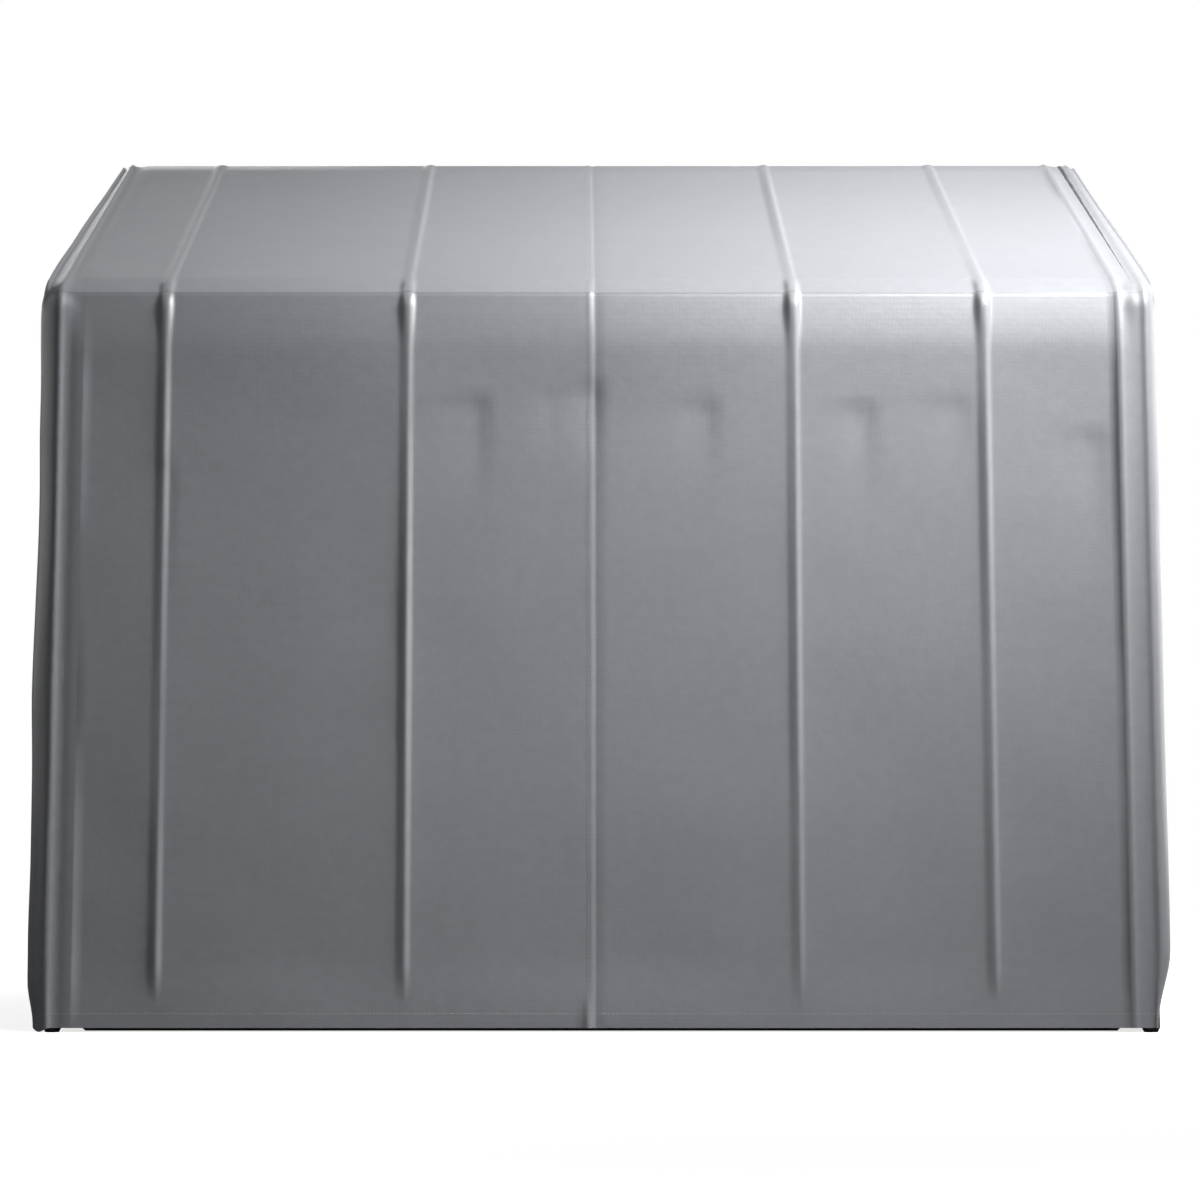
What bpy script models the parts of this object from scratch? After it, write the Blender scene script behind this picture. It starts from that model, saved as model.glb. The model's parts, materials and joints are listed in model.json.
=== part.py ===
"""Home standby generator under a framed, fitted weather cover.

A V-twin gas engine drives an alternator on a composite base pad. Six bent tube hoops, joined by
straight rails, stand over the machine and carry a coated fabric cover whose front wall lifts like
an awning. Metres, +Z up. X runs along the machine, -Y is the front, and the origin is the middle
of the footprint at ground level.
"""

import math

import bmesh
import bpy
from mathutils import Matrix, Vector

# ---------------------------------------------------------------- driving dimensions
GAP = 0.0003                     # between two faces that touch

HALF_DEPTH = 0.530               # outer face of the hoop legs, front and rear
HALF_LENGTH = 0.720              # middle of the end hoops
EAVE_Z = 0.989                   # outer fold where wall meets roof
RIDGE_Z = 1.312                  # outer fold at the ridge
HOOP_X = (-HALF_LENGTH, -0.583, -0.258, 0.260, 0.516, HALF_LENGTH)
TUBE_R = 0.0125                  # hoop tube
RAIL_R = 0.008                   # ridge and eave rails
BASE_RAIL_R = 0.010
BEND_R = 0.035                   # middle line of the hoop bends
INNER_LEG_END_Z = 0.055          # the four inner hoops stop here
FOOT_H = 0.020
FOOT_R = 0.0122

FABRIC_T = 0.003                 # cover, with its folds and seams
HEM_Z = 0.006                    # lower edge of the cover
END_SLACK = 0.008                # the end walls hang this far outside the end hoops
VENT_HALF_Y = 0.20               # opening in each end wall
VENT_Z = (0.36, 0.78)
FLAP_MARGIN = 0.03               # how far a flap overlaps its opening
HEM_BAR_R = 0.006

PAD_HALF = Vector((0.690, 0.498))
PAD_H = 0.060

CRANK_Z = 0.310                  # the crankshaft lies along X above y = 0
SHAFT_R = 0.0175
BORE_R = 0.0188                  # holes that the shaft turns in
CRADLE_Z = (0.0853, 0.105)
CASE_X = (-0.095, 0.160)
CASE_HALF_Y = 0.145
DECK_R = 0.150                   # from the crank to each cylinder's seat
CASE_TOP_Z = CRANK_Z + DECK_R
DIPSTICK = Vector((0.132, -0.035, CASE_TOP_Z + GAP))
CYLINDER_X = {"front": 0.005, "rear": 0.055}
PORT_REACH = 0.222               # distances from the crank along the cylinder
CYLINDER_TOP = 0.255
ROCKER_TOP = 0.310
FIN_HALF = 0.0625
STATOR_R = 0.130
STATOR_BORE_R = 0.092
STATOR_X = (-0.355, CASE_X[0] - GAP)
ROTOR_R = 0.0900
BLOWER_X = (CASE_X[1] + 0.005, 0.275)
BLOWER_R = 0.165
CLEANER_Z = 0.530                # underside of the air cleaner
HOSE_END_X = -0.020              # where the gas hose meets the mixer
HOSE_END_Z = 0.487

CABINET_LOW = Vector((-0.635, -0.260, PAD_H + GAP))
CABINET_HIGH = Vector((-0.425, -0.120, 0.680))
RECESS_Z = (0.400, 0.660)
RECESS_DEPTH = 0.050
DOOR_T = 0.004
BUTTON_R = 0.009
BUTTON_Z = 0.560
BUTTON_TRAVEL = 0.003
BREAKER_Z = 0.455
BREAKER_TILT = math.radians(20)  # above level when on, and as far below when off

MUFFLER_X = 0.440
MUFFLER_Z = 0.240
MUFFLER_R = 0.075
MUFFLER_Y = (-0.200, 0.220)
TAILPIPE_R = 0.022
TAILPIPE_END_Y = 0.512

VALVE = Vector((-0.220, 0.285, 0.130))   # fuel shut-off valve

# ---------------------------------------------------------------- worked out from them
ROOF_TAN = (RIDGE_Z - EAVE_Z) / HALF_DEPTH
ROOF_COS = 1 / math.hypot(1, ROOF_TAN)
LEG_Y = HALF_DEPTH - TUBE_R
END_X = HALF_LENGTH + TUBE_R + END_SLACK # inner face of the end walls
COVER_HALF_X = END_X + FABRIC_T + GAP    # half length of the roof, front and rear walls
WALL_Y = HALF_DEPTH + GAP                # inner face of the front and rear walls
FOLD_Z = EAVE_Z - 0.0045                 # where the front wall hinges
BASE_RAIL_Y = LEG_Y - TUBE_R - GAP - BASE_RAIL_R
BASE_RAIL_X = HALF_LENGTH - TUBE_R - GAP - BASE_RAIL_R
BASE_RAIL_Z = PAD_H + BASE_RAIL_R + GAP  # the base rails lie on the pad


def line_z(y, offset):
    """Height over y of the line that runs parallel to the outer roof surface, offset inwards."""
    return RIDGE_Z - abs(y) * ROOF_TAN - offset / ROOF_COS


# ---------------------------------------------------------------- scene and materials
for old in list(bpy.data.objects):
    bpy.data.objects.remove(old)

PARTS = bpy.data.collections.new("home_standby_generator")
CUTTERS = bpy.data.collections.new("cutters")
for group in (PARTS, CUTTERS):
    bpy.context.scene.collection.children.link(group)


def make_material(name, colour, roughness, metallic=0.0):
    material = bpy.data.materials.new(name)
    material.use_nodes = True
    shader = material.node_tree.nodes["Principled BSDF"]
    shader.inputs["Base Color"].default_value = (*colour, 1.0)
    shader.inputs["Roughness"].default_value = roughness
    shader.inputs["Metallic"].default_value = metallic
    return material


COVER_FABRIC = make_material("cover_fabric", (0.170, 0.174, 0.182), 0.45)
GALVANISED = make_material("galvanised_tube", (0.560, 0.570, 0.580), 0.40, 1.0)
RUBBER = make_material("rubber", (0.020, 0.020, 0.020), 0.80)
COMPOSITE = make_material("composite_pad", (0.220, 0.220, 0.210), 0.85)
CAST_ALLOY = make_material("cast_alloy", (0.600, 0.600, 0.600), 0.50, 1.0)
BLACK_STEEL = make_material("black_steel", (0.030, 0.030, 0.032), 0.45, 0.3)
BARE_STEEL = make_material("bare_steel", (0.500, 0.490, 0.470), 0.30, 1.0)
ALUMINISED = make_material("aluminised_steel", (0.450, 0.430, 0.400), 0.55, 1.0)
GREY_PAINT = make_material("grey_paint", (0.380, 0.390, 0.400), 0.50)
BLACK_PLASTIC = make_material("black_plastic", (0.025, 0.025, 0.027), 0.55)
COPPER_WINDING = make_material("winding", (0.450, 0.200, 0.090), 0.45, 0.6)
YELLOW_PAINT = make_material("yellow_handle", (0.750, 0.520, 0.030), 0.45)
RED_PLASTIC = make_material("red_plastic", (0.550, 0.030, 0.025), 0.40)
GREEN_PLASTIC = make_material("green_plastic", (0.030, 0.330, 0.080), 0.40)
BLUE_PLASTIC = make_material("blue_plastic", (0.040, 0.130, 0.420), 0.40)
ORANGE_CAN = make_material("filter_can", (0.550, 0.180, 0.030), 0.35, 0.2)


# ---------------------------------------------------------------- modelling helpers
def add_object(name, data, material, location=(0, 0, 0), rotation=None):
    obj = bpy.data.objects.new(name, data)
    obj.location = location
    if rotation is not None:
        obj.rotation_mode = "QUATERNION"
        obj.rotation_quaternion = rotation
    data.materials.append(material)
    PARTS.objects.link(obj)
    return obj


def smooth(mesh, degrees=35):
    mesh.shade_smooth()
    mesh.set_sharp_from_angle(angle=math.radians(degrees))


def bevel(obj, width, segments=1, degrees=40):
    modifier = obj.modifiers.new("rounded", "BEVEL")
    modifier.width = width
    modifier.segments = segments
    modifier.angle_limit = math.radians(degrees)
    return obj


def block(name, low, high, material, rounded=0.0):
    """A box between two corners, with its edges rounded."""
    low, high = Vector(low), Vector(high)
    shape = bmesh.new()
    bmesh.ops.create_cube(shape, size=1.0, matrix=Matrix.Diagonal((*(high - low), 1.0)))
    mesh = bpy.data.meshes.new(name)
    shape.to_mesh(mesh)
    shape.free()
    obj = add_object(name, mesh, material, (low + high) / 2)
    return bevel(obj, rounded) if rounded else obj


def rod(name, start, end, radius, material, sides=16, end_radius=None):
    """A cylinder, or a cone, from start to end."""
    start, end = Vector(start), Vector(end)
    shape = bmesh.new()
    bmesh.ops.create_cone(
        shape,
        cap_ends=True,
        segments=sides,
        radius1=radius,
        radius2=radius if end_radius is None else end_radius,
        depth=(end - start).length,
    )
    mesh = bpy.data.meshes.new(name)
    shape.to_mesh(mesh)
    shape.free()
    smooth(mesh)
    turn = (end - start).to_track_quat("Z", "Y")
    return add_object(name, mesh, material, (start + end) / 2, turn)


def turned(name, profile, origin, axis, material, steps=24, closed=False):
    """Turns a profile of (radius, height) points about an axis. It runs down the outer side."""
    mesh = bpy.data.meshes.new(name)
    count = len(profile)
    edges = [(i, (i + 1) % count) for i in range(count if closed else count - 1)]
    mesh.from_pydata([(r, 0.0, h) for r, h in profile], edges, [])
    obj = add_object(name, mesh, material, origin, Vector(axis).to_track_quat("Z", "Y"))
    screw = obj.modifiers.new("turn", "SCREW")
    screw.steps = steps
    screw.render_steps = steps
    screw.use_merge_vertices = True
    screw.merge_threshold = 0.00001
    screw.use_smooth_shade = False
    return obj


def tube(name, points, radius, material, fineness=3):
    """A round tube along points, with 4 + 2 * fineness sides."""
    curve = bpy.data.curves.new(name, "CURVE")
    curve.dimensions = "3D"
    curve.bevel_depth = radius
    curve.bevel_resolution = fineness
    curve.use_fill_caps = True
    spline = curve.splines.new("POLY")
    spline.points.add(len(points) - 1)
    for point, place in zip(spline.points, points):
        point.co = (*place, 1.0)
    return add_object(name, curve, material)


def rounded_path(corners, radius, steps=4):
    """The corners of a polyline, each one inside replaced by points along an arc."""
    corners = [Vector(c) for c in corners]
    path = [corners[0]]
    for before, corner, after in zip(corners, corners[1:], corners[2:]):
        back, ahead = (before - corner).normalized(), (after - corner).normalized()
        half = back.angle(ahead) / 2
        reach = radius / math.tan(half)
        middle = corner + (back + ahead).normalized() * radius / math.sin(half)
        first = corner + back * reach - middle
        last = corner + ahead * reach - middle
        for step in range(steps + 1):
            path.append(middle + first.slerp(last, step / steps).normalized() * radius)
    path.append(corners[-1])
    return path


def outline(name, points, thickness, x, material):
    """A flat plate lying in a YZ plane, centred on x, from its outline of (y, z) points."""
    curve = bpy.data.curves.new(name, "CURVE")
    curve.dimensions = "2D"
    curve.fill_mode = "BOTH"
    curve.extrude = thickness / 2
    spline = curve.splines.new("POLY")
    spline.points.add(len(points) - 1)
    for point, (y, z) in zip(spline.points, points):
        point.co = (y, z, 0.0, 1.0)
    spline.use_cyclic_u = True
    turn = Matrix(((0, 0, 1), (1, 0, 0), (0, 1, 0))).to_quaternion()
    return add_object(name, curve, material, (x, 0, 0), turn)


def as_mesh(obj):
    """Replaces a curve object by a mesh object of the same shape, with its caps welded on."""
    bpy.context.view_layer.update()
    evaluated = obj.evaluated_get(bpy.context.evaluated_depsgraph_get())
    mesh = bpy.data.meshes.new_from_object(evaluated)
    shape = bmesh.new()
    shape.from_mesh(mesh)
    bmesh.ops.remove_doubles(shape, verts=shape.verts, dist=0.00001)
    bmesh.ops.recalc_face_normals(shape, faces=shape.faces)
    shape.to_mesh(mesh)
    shape.free()
    name, material, place = obj.name, obj.data.materials[0], obj.matrix_world.copy()
    bpy.data.objects.remove(obj)
    mesh.materials.clear()
    made = add_object(name, mesh, material)
    made.matrix_world = place
    return made


def combine(obj, tool, operation):
    """Cuts the tool out of obj, or joins it on. The tool stays as a hidden guide."""
    PARTS.objects.unlink(tool)
    CUTTERS.objects.link(tool)
    tool.hide_render = True
    tool.display_type = "WIRE"
    modifier = obj.modifiers.new(tool.name, "BOOLEAN")
    modifier.operation = operation
    modifier.object = tool
    return obj


def cut(obj, *tools):
    for tool in tools:
        combine(obj, tool, "DIFFERENCE")
    return obj


def join(obj, *tools):
    for tool in tools:
        combine(obj, tool, "UNION")
    return obj


def hinge(name, place, *pieces):
    """An empty on a joint's axis, which carries the pieces that move with the joint."""
    empty = bpy.data.objects.new(name, None)
    empty.location = place
    empty.empty_display_size = 0.05
    PARTS.objects.link(empty)
    bpy.context.view_layer.update()
    for piece in pieces:
        place_now = piece.matrix_world.copy()
        piece.parent = empty
        piece.matrix_parent_inverse = empty.matrix_world.inverted()
        piece.matrix_world = place_now
    return empty


# ---------------------------------------------------------------- hoop frame
def hoop_path(x, leg_end_z):
    """The middle line of one hoop: up the front leg, over the ridge and down the rear leg."""
    eave_z = line_z(LEG_Y, TUBE_R)
    corners = [
        (x, -LEG_Y, leg_end_z),
        (x, -LEG_Y, eave_z),
        (x, 0, line_z(0, TUBE_R)),
        (x, LEG_Y, eave_z),
        (x, LEG_Y, leg_end_z),
    ]
    return rounded_path(corners, BEND_R, steps=4)


def make_hoops():
    for number, x in enumerate(HOOP_X, start=1):
        at_end = number in (1, len(HOOP_X))
        leg_end_z = FOOT_H + GAP if at_end else INNER_LEG_END_Z
        tube(f"hoop_{number}", hoop_path(x, leg_end_z), TUBE_R, GALVANISED, fineness=4)


def make_feet():
    for side, x in (("left", -HALF_LENGTH), ("right", HALF_LENGTH)):
        for face, y in (("front", -LEG_Y), ("rear", LEG_Y)):
            profile = [
                (0, FOOT_H),
                (FOOT_R, FOOT_H),
                (FOOT_R, 0.006),
                (FOOT_R * 0.75, 0),
                (0, 0),
            ]
            turned(f"foot_{face}_{side}", profile, (x, y, 0), (0, 0, 1), RUBBER, steps=16)


def rail_along_x(name, y, z, radius, half_length):
    tube(name, [(-half_length, y, z), (half_length, y, z)], radius, GALVANISED, fineness=3)


def make_rails():
    # The ridge and eave rails nest inside the hoop bends, a little below their inner faces.
    reach = BEND_R - TUBE_R - RAIL_R - 2 * GAP
    bend_z = line_z(0, TUBE_R + BEND_R)
    rail_along_x("ridge_rail", 0, bend_z + reach, RAIL_R, HALF_LENGTH)
    eave_y = LEG_Y - BEND_R
    eave_bend_z = line_z(eave_y, TUBE_R + BEND_R)
    towards = Vector((math.cos(math.radians(30)), math.sin(math.radians(30)))) * reach
    rail_along_x(
        "eave_rail_front", -eave_y - towards.x, eave_bend_z + towards.y, RAIL_R, HALF_LENGTH
    )
    rail_along_x(
        "eave_rail_rear", eave_y + towards.x, eave_bend_z + towards.y, RAIL_R, HALF_LENGTH
    )
    between = BASE_RAIL_X - BASE_RAIL_R - 2 * GAP
    rail_along_x("base_rail_front", -BASE_RAIL_Y, BASE_RAIL_Z, BASE_RAIL_R, between)
    rail_along_x("base_rail_rear", BASE_RAIL_Y, BASE_RAIL_Z, BASE_RAIL_R, between)
    for side, x in (("left", -BASE_RAIL_X), ("right", BASE_RAIL_X)):
        ends = [(x, -BASE_RAIL_Y, BASE_RAIL_Z), (x, BASE_RAIL_Y, BASE_RAIL_Z)]
        tube(f"base_rail_{side}", ends, BASE_RAIL_R, GALVANISED, fineness=3)


# ---------------------------------------------------------------- fabric cover
def make_roof():
    edge = WALL_Y + FABRIC_T
    inner, outer = -GAP, -GAP - FABRIC_T
    points = [
        (-edge, line_z(edge, inner)),
        (0, line_z(0, inner)),
        (edge, line_z(edge, inner)),
        (edge, line_z(edge, outer)),
        (0, line_z(0, outer)),
        (-edge, line_z(edge, outer)),
    ]
    outline("cover_roof", points, 2 * COVER_HALF_X, 0, COVER_FABRIC)


def make_front_wall():
    wall = block(
        "cover_front",
        (-COVER_HALF_X, -WALL_Y - FABRIC_T, HEM_Z),
        (COVER_HALF_X, -WALL_Y, FOLD_Z - 0.001),
        COVER_FABRIC,
    )
    bar_y = -WALL_Y + HEM_BAR_R + 2 * GAP
    bar_x = HALF_LENGTH - TUBE_R - 0.010
    bar_z = HEM_Z + HEM_BAR_R + 0.008
    bar = rod("hem_bar", (-bar_x, bar_y, bar_z), (bar_x, bar_y, bar_z), HEM_BAR_R, GALVANISED)
    hinge("front_panel_lift", (0, -WALL_Y - FABRIC_T / 2, FOLD_Z), wall, bar)


def make_rear_wall():
    wall = block(
        "cover_rear",
        (-COVER_HALF_X, WALL_Y, HEM_Z),
        (COVER_HALF_X, WALL_Y + FABRIC_T, FOLD_Z - 0.001),
        COVER_FABRIC,
    )
    hole_r = 0.043
    hole = rod(
        "tailpipe_hole",
        (MUFFLER_X, WALL_Y - 0.01, MUFFLER_Z),
        (MUFFLER_X, WALL_Y + 0.02, MUFFLER_Z),
        hole_r,
        COVER_FABRIC,
        sides=24,
    )
    cut(wall, hole)
    flange_y = WALL_Y + FABRIC_T + GAP
    sleeve_r, bore_r, flange_r = hole_r - 0.001, 0.036, 0.062
    profile = [
        (bore_r, 0.005),
        (flange_r, 0.005),
        (flange_r, 0.001),
        (sleeve_r, 0.0),
        (sleeve_r, TAILPIPE_END_Y + 0.003 - flange_y),
        (bore_r, TAILPIPE_END_Y + 0.003 - flange_y),
    ]
    turned(
        "exhaust_collar",
        profile,
        (MUFFLER_X, flange_y, MUFFLER_Z),
        (0, 1, 0),
        ALUMINISED,
        closed=True,
    )


def make_end_walls():
    below_roof = 0.0005
    points = [
        (-HALF_DEPTH, HEM_Z),
        (HALF_DEPTH, HEM_Z),
        (HALF_DEPTH, EAVE_Z - below_roof),
        (0, RIDGE_Z - below_roof),
        (-HALF_DEPTH, EAVE_Z - below_roof),
    ]
    for side, sign in (("left", -1), ("right", 1)):
        middle = sign * (END_X + FABRIC_T / 2)
        wall = as_mesh(
            outline(f"cover_{side}_end", points, FABRIC_T, middle, COVER_FABRIC)
        )
        opening = block(
            f"vent_opening_{side}",
            (middle - 0.02, -VENT_HALF_Y, VENT_Z[0]),
            (middle + 0.02, VENT_HALF_Y, VENT_Z[1]),
            COVER_FABRIC,
        )
        cut(wall, opening)
        inner = sign * (END_X + FABRIC_T + GAP)
        outer = inner + sign * FABRIC_T
        flap = block(
            f"vent_flap_{side}",
            (min(inner, outer), -VENT_HALF_Y - FLAP_MARGIN, VENT_Z[0] - FLAP_MARGIN),
            (max(inner, outer), VENT_HALF_Y + FLAP_MARGIN, VENT_Z[1] + FLAP_MARGIN),
            COVER_FABRIC,
        )
        axis = ((inner + outer) / 2, 0, VENT_Z[1] + FLAP_MARGIN)
        hinge(f"vent_flap_{side}_lift", axis, flap)


# ---------------------------------------------------------------- base and engine
def make_base():
    block(
        "base_pad",
        (-PAD_HALF.x, -PAD_HALF.y, 0),
        (PAD_HALF.x, PAD_HALF.y, PAD_H),
        COMPOSITE,
        rounded=0.008,
    )
    for side, x in (("left", -0.300), ("right", 0.120)):
        block(
            f"isolator_{side}",
            (x - 0.025, -0.130, PAD_H + GAP),
            (x + 0.025, 0.130, CRADLE_Z[0] - GAP),
            RUBBER,
            rounded=0.003,
        )
    block(
        "engine_cradle",
        (-0.350, -0.150, CRADLE_Z[0]),
        (0.170, 0.150, CRADLE_Z[1]),
        BLACK_STEEL,
        rounded=0.003,
    )


def make_crankcase():
    """A crankcase with two decks at 45 degrees, hollow around the crank's webs."""
    shoulder = DECK_R * math.sqrt(2) - CASE_HALF_Y
    top_half_y = DECK_R * math.sqrt(2) - DECK_R
    points = [
        (-CASE_HALF_Y, CRADLE_Z[1] + GAP),
        (CASE_HALF_Y, CRADLE_Z[1] + GAP),
        (CASE_HALF_Y, CRANK_Z + shoulder),
        (top_half_y, CASE_TOP_Z),
        (-top_half_y, CASE_TOP_Z),
        (-CASE_HALF_Y, CRANK_Z + shoulder),
    ]
    middle = sum(CASE_X) / 2
    length = CASE_X[1] - CASE_X[0]
    case = as_mesh(outline("crankcase", points, length, middle, CAST_ALLOY))
    bevel(case, 0.006)
    shaft_bore = rod(
        "crankcase_bore",
        (CASE_X[0] - 0.01, 0, CRANK_Z),
        (CASE_X[1] + 0.01, 0, CRANK_Z),
        BORE_R,
        CAST_ALLOY,
        sides=24,
    )
    web_room = rod(
        "crankcase_room", (-0.040, 0, CRANK_Z), (0.105, 0, CRANK_Z), 0.090, CAST_ALLOY, sides=24
    )
    stick_hole = rod(
        "dipstick_hole",
        (DIPSTICK.x, DIPSTICK.y, CASE_TOP_Z - 0.150),
        (DIPSTICK.x, DIPSTICK.y, CASE_TOP_Z + 0.01),
        0.0060,
        CAST_ALLOY,
        sides=12,
    )
    cut(case, shaft_bore, web_room, stick_hole)


def make_dipstick():
    profile = [
        (0, 0.022),
        (0.015, 0.022),
        (0.017, 0.018),
        (0.017, 0.0),
        (0.004, 0.0),
        (0.004, -0.140),
        (0, -0.140),
    ]
    cap = turned(
        "oil_dipstick",
        profile,
        DIPSTICK,
        (0, 0, 1),
        YELLOW_PAINT,
        steps=12,
    )
    hinge("dipstick_lift", DIPSTICK, cap)


def make_crankshaft():
    """The shaft, with two round webs and an offset pin between them."""
    webs = ((0.000, 0.022), (0.046, 0.068))
    left_end, right_end = webs[0][0] + 0.01, webs[1][1] - 0.01
    pin_z = CRANK_Z + 0.035

    def bar(name, low_x, high_x, z, radius, sides):
        return rod(name, (low_x, 0, z), (high_x, 0, z), radius, BARE_STEEL, sides=sides)

    left = bar("crankshaft", -0.395, left_end, CRANK_Z, SHAFT_R, 20)
    right = bar("shaft_right", right_end, 0.265, CRANK_Z, SHAFT_R, 20)
    pin = bar("crank_pin", left_end, right_end, pin_z, 0.016, 14)
    discs = [
        rod(f"web_{i}", (low, 0, CRANK_Z), (high, 0, CRANK_Z), 0.070, BARE_STEEL, sides=20)
        for i, (low, high) in enumerate(webs, start=1)
    ]
    return join(left, *discs, pin, right)


def make_flywheel_fan():
    """A flywheel disc with radial blades on its outer face, bored for the shaft."""
    disc = turned(
        "flywheel_fan",
        [(0, 0.066), (0.034, 0.066), (0.034, 0.022), (0.128, 0.022), (0.128, 0.0), (0, 0.0)],
        (0.182, 0, CRANK_Z),
        (1, 0, 0),
        CAST_ALLOY,
    )
    blade_count = 12
    for i in range(blade_count):
        angle = 2 * math.pi * i / blade_count
        blade = block(f"fan_blade_{i}", (-0.019, -0.0015, -0.030), (0.019, 0.0015, 0.030), CAST_ALLOY)
        radius = 0.092
        blade.location = (
            0.182 + 0.022 + 0.017,
            -radius * math.sin(angle),
            CRANK_Z + radius * math.cos(angle),
        )
        blade.rotation_euler = (angle, 0, 0)
        join(disc, blade)
    bore = rod(
        "fan_bore", (0.17, 0, CRANK_Z), (0.26, 0, CRANK_Z), SHAFT_R + 2 * GAP, CAST_ALLOY, sides=20
    )
    return cut(disc, bore)


def make_cylinders():
    """Two finned cylinders at 45 degrees either side of upright, each with its rocker cover."""
    fin_count, fin_t, core_half = 7, 0.0035, 0.046
    for face, sign in (("front", -1), ("rear", 1)):
        x = CYLINDER_X[face]
        lean = Matrix.Rotation(-sign * math.radians(45), 4, "X")
        place = Matrix.Translation((x, 0, CRANK_Z)) @ lean
        core = block(
            f"cylinder_{face}",
            (-core_half, -core_half, DECK_R + GAP),
            (core_half, core_half, CYLINDER_TOP),
            CAST_ALLOY,
        )
        pitch = (CYLINDER_TOP - DECK_R - 0.016) / (fin_count - 1)
        pieces = [core]
        for i in range(fin_count):
            z = DECK_R + 0.012 + i * pitch
            fin = block(
                f"fin_{face}_{i}",
                (-FIN_HALF, -FIN_HALF, z - fin_t / 2),
                (FIN_HALF, FIN_HALF, z + fin_t / 2),
                CAST_ALLOY,
            )
            pieces.append(fin)
        cover = block(
            f"rocker_cover_{face}",
            (-0.052, -0.050, CYLINDER_TOP + 0.003),
            (0.052, 0.050, ROCKER_TOP),
            CAST_ALLOY,
            rounded=0.010,
        )
        bpy.context.view_layer.update()
        for piece in (*pieces, cover):
            piece.matrix_world = place @ piece.matrix_world
        join(core, *pieces[1:])


def make_blower_housing():
    length = BLOWER_X[1] - BLOWER_X[0]
    inlet_r, wall = 0.105, 0.004
    profile = [
        (inlet_r, length),
        (BLOWER_R - 0.012, length),
        (BLOWER_R, length - 0.012),
        (BLOWER_R, 0),
        (BLOWER_R - wall, 0),
        (BLOWER_R - wall, length - 0.014),
        (BLOWER_R - 0.014, length - wall),
        (inlet_r, length - wall),
    ]
    turned("blower_housing", profile, (BLOWER_X[0], 0, CRANK_Z), (1, 0, 0), BLACK_STEEL, closed=True)


# ---------------------------------------------------------------- alternator
def make_alternator():
    length = STATOR_X[1] - STATOR_X[0]
    stator = rod(
        "alternator_stator",
        (STATOR_X[0], 0, CRANK_Z),
        (STATOR_X[1], 0, CRANK_Z),
        STATOR_R,
        GREY_PAINT,
        sides=28,
    )
    foot = block(
        "stator_foot",
        (STATOR_X[0] + 0.030, -0.110, CRADLE_Z[1] + GAP),
        (STATOR_X[1] - 0.060, 0.110, CRANK_Z - 0.080),
        GREY_PAINT,
    )
    bore = rod(
        "stator_bore",
        (STATOR_X[0] - 0.01, 0, CRANK_Z),
        (STATOR_X[1] + 0.01, 0, CRANK_Z),
        STATOR_BORE_R,
        GREY_PAINT,
        sides=28,
    )
    cut(join(stator, foot), bore)

    rotor = turned(
        "alternator_rotor",
        [
            (SHAFT_R + 2 * GAP, length - 0.050),
            (ROTOR_R - 0.010, length - 0.050),
            (ROTOR_R, length - 0.060),
            (ROTOR_R, 0.010),
            (ROTOR_R - 0.010, 0),
            (SHAFT_R + 2 * GAP, 0),
        ],
        (STATOR_X[0] + 0.025, 0, CRANK_Z),
        (1, 0, 0),
        COPPER_WINDING,
        closed=True,
    )

    bell_depth = 0.045
    bell = turned(
        "alternator_end_bell",
        [
            (BORE_R, bell_depth),
            (0.045, bell_depth),
            (0.060, bell_depth - 0.012),
            (0.110, bell_depth - 0.016),
            (STATOR_R - 0.002, 0.014),
            (STATOR_R - 0.002, 0),
            (0.115, 0),
            (0.100, bell_depth - 0.026),
            (BORE_R, bell_depth - 0.022),
        ],
        (STATOR_X[0] - GAP, 0, CRANK_Z),
        (-1, 0, 0),
        CAST_ALLOY,
        closed=True,
    )
    vent_count = 6
    for i in range(vent_count):
        angle = 2 * math.pi * i / vent_count
        y, z = 0.082 * math.sin(angle), CRANK_Z + 0.082 * math.cos(angle)
        far_x = STATOR_X[0] - bell_depth - 0.01
        vent = rod(f"bell_vent_{i}", (far_x, y, z), (STATOR_X[0], y, z), 0.014, CAST_ALLOY, sides=10)
        cut(bell, vent)
    return rotor


# ---------------------------------------------------------------- air, oil and starting
def make_intake():
    """A mixer on a two-armed manifold between the cylinders, with the air cleaner on top."""
    throat_x = 0.030
    manifold = rod(
        "intake_manifold",
        (throat_x, 0, CASE_TOP_Z + GAP),
        (throat_x, 0, CLEANER_Z - GAP),
        0.024,
        CAST_ALLOY,
    )
    arm_z, arm_y = CLEANER_Z - 0.022, 0.095
    arms = rod(
        "manifold_arms",
        (throat_x, -arm_y, arm_z),
        (throat_x, arm_y, arm_z),
        0.011,
        CAST_ALLOY,
        sides=12,
    )
    port = rod(
        "mixer_port", (HOSE_END_X, 0, HOSE_END_Z), (throat_x, 0, HOSE_END_Z), 0.010, CAST_ALLOY, sides=12
    )
    join(manifold, arms, port)
    split_z = CLEANER_Z + 0.027
    block(
        "air_cleaner_base",
        (throat_x - 0.075, -0.085, CLEANER_Z),
        (throat_x + 0.075, 0.085, split_z),
        BLACK_PLASTIC,
        rounded=0.006,
    )
    top_z = split_z + 0.073
    cover = block(
        "air_cleaner_cover",
        (throat_x - 0.080, -0.090, split_z + GAP),
        (throat_x + 0.080, 0.090, top_z),
        BLACK_PLASTIC,
        rounded=0.014,
    )
    knob = rod(
        "air_cleaner_knob",
        (throat_x, 0, top_z - 0.005),
        (throat_x, 0, top_z + 0.015),
        0.014,
        BLACK_PLASTIC,
        sides=8,
    )
    join(cover, knob)


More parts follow.
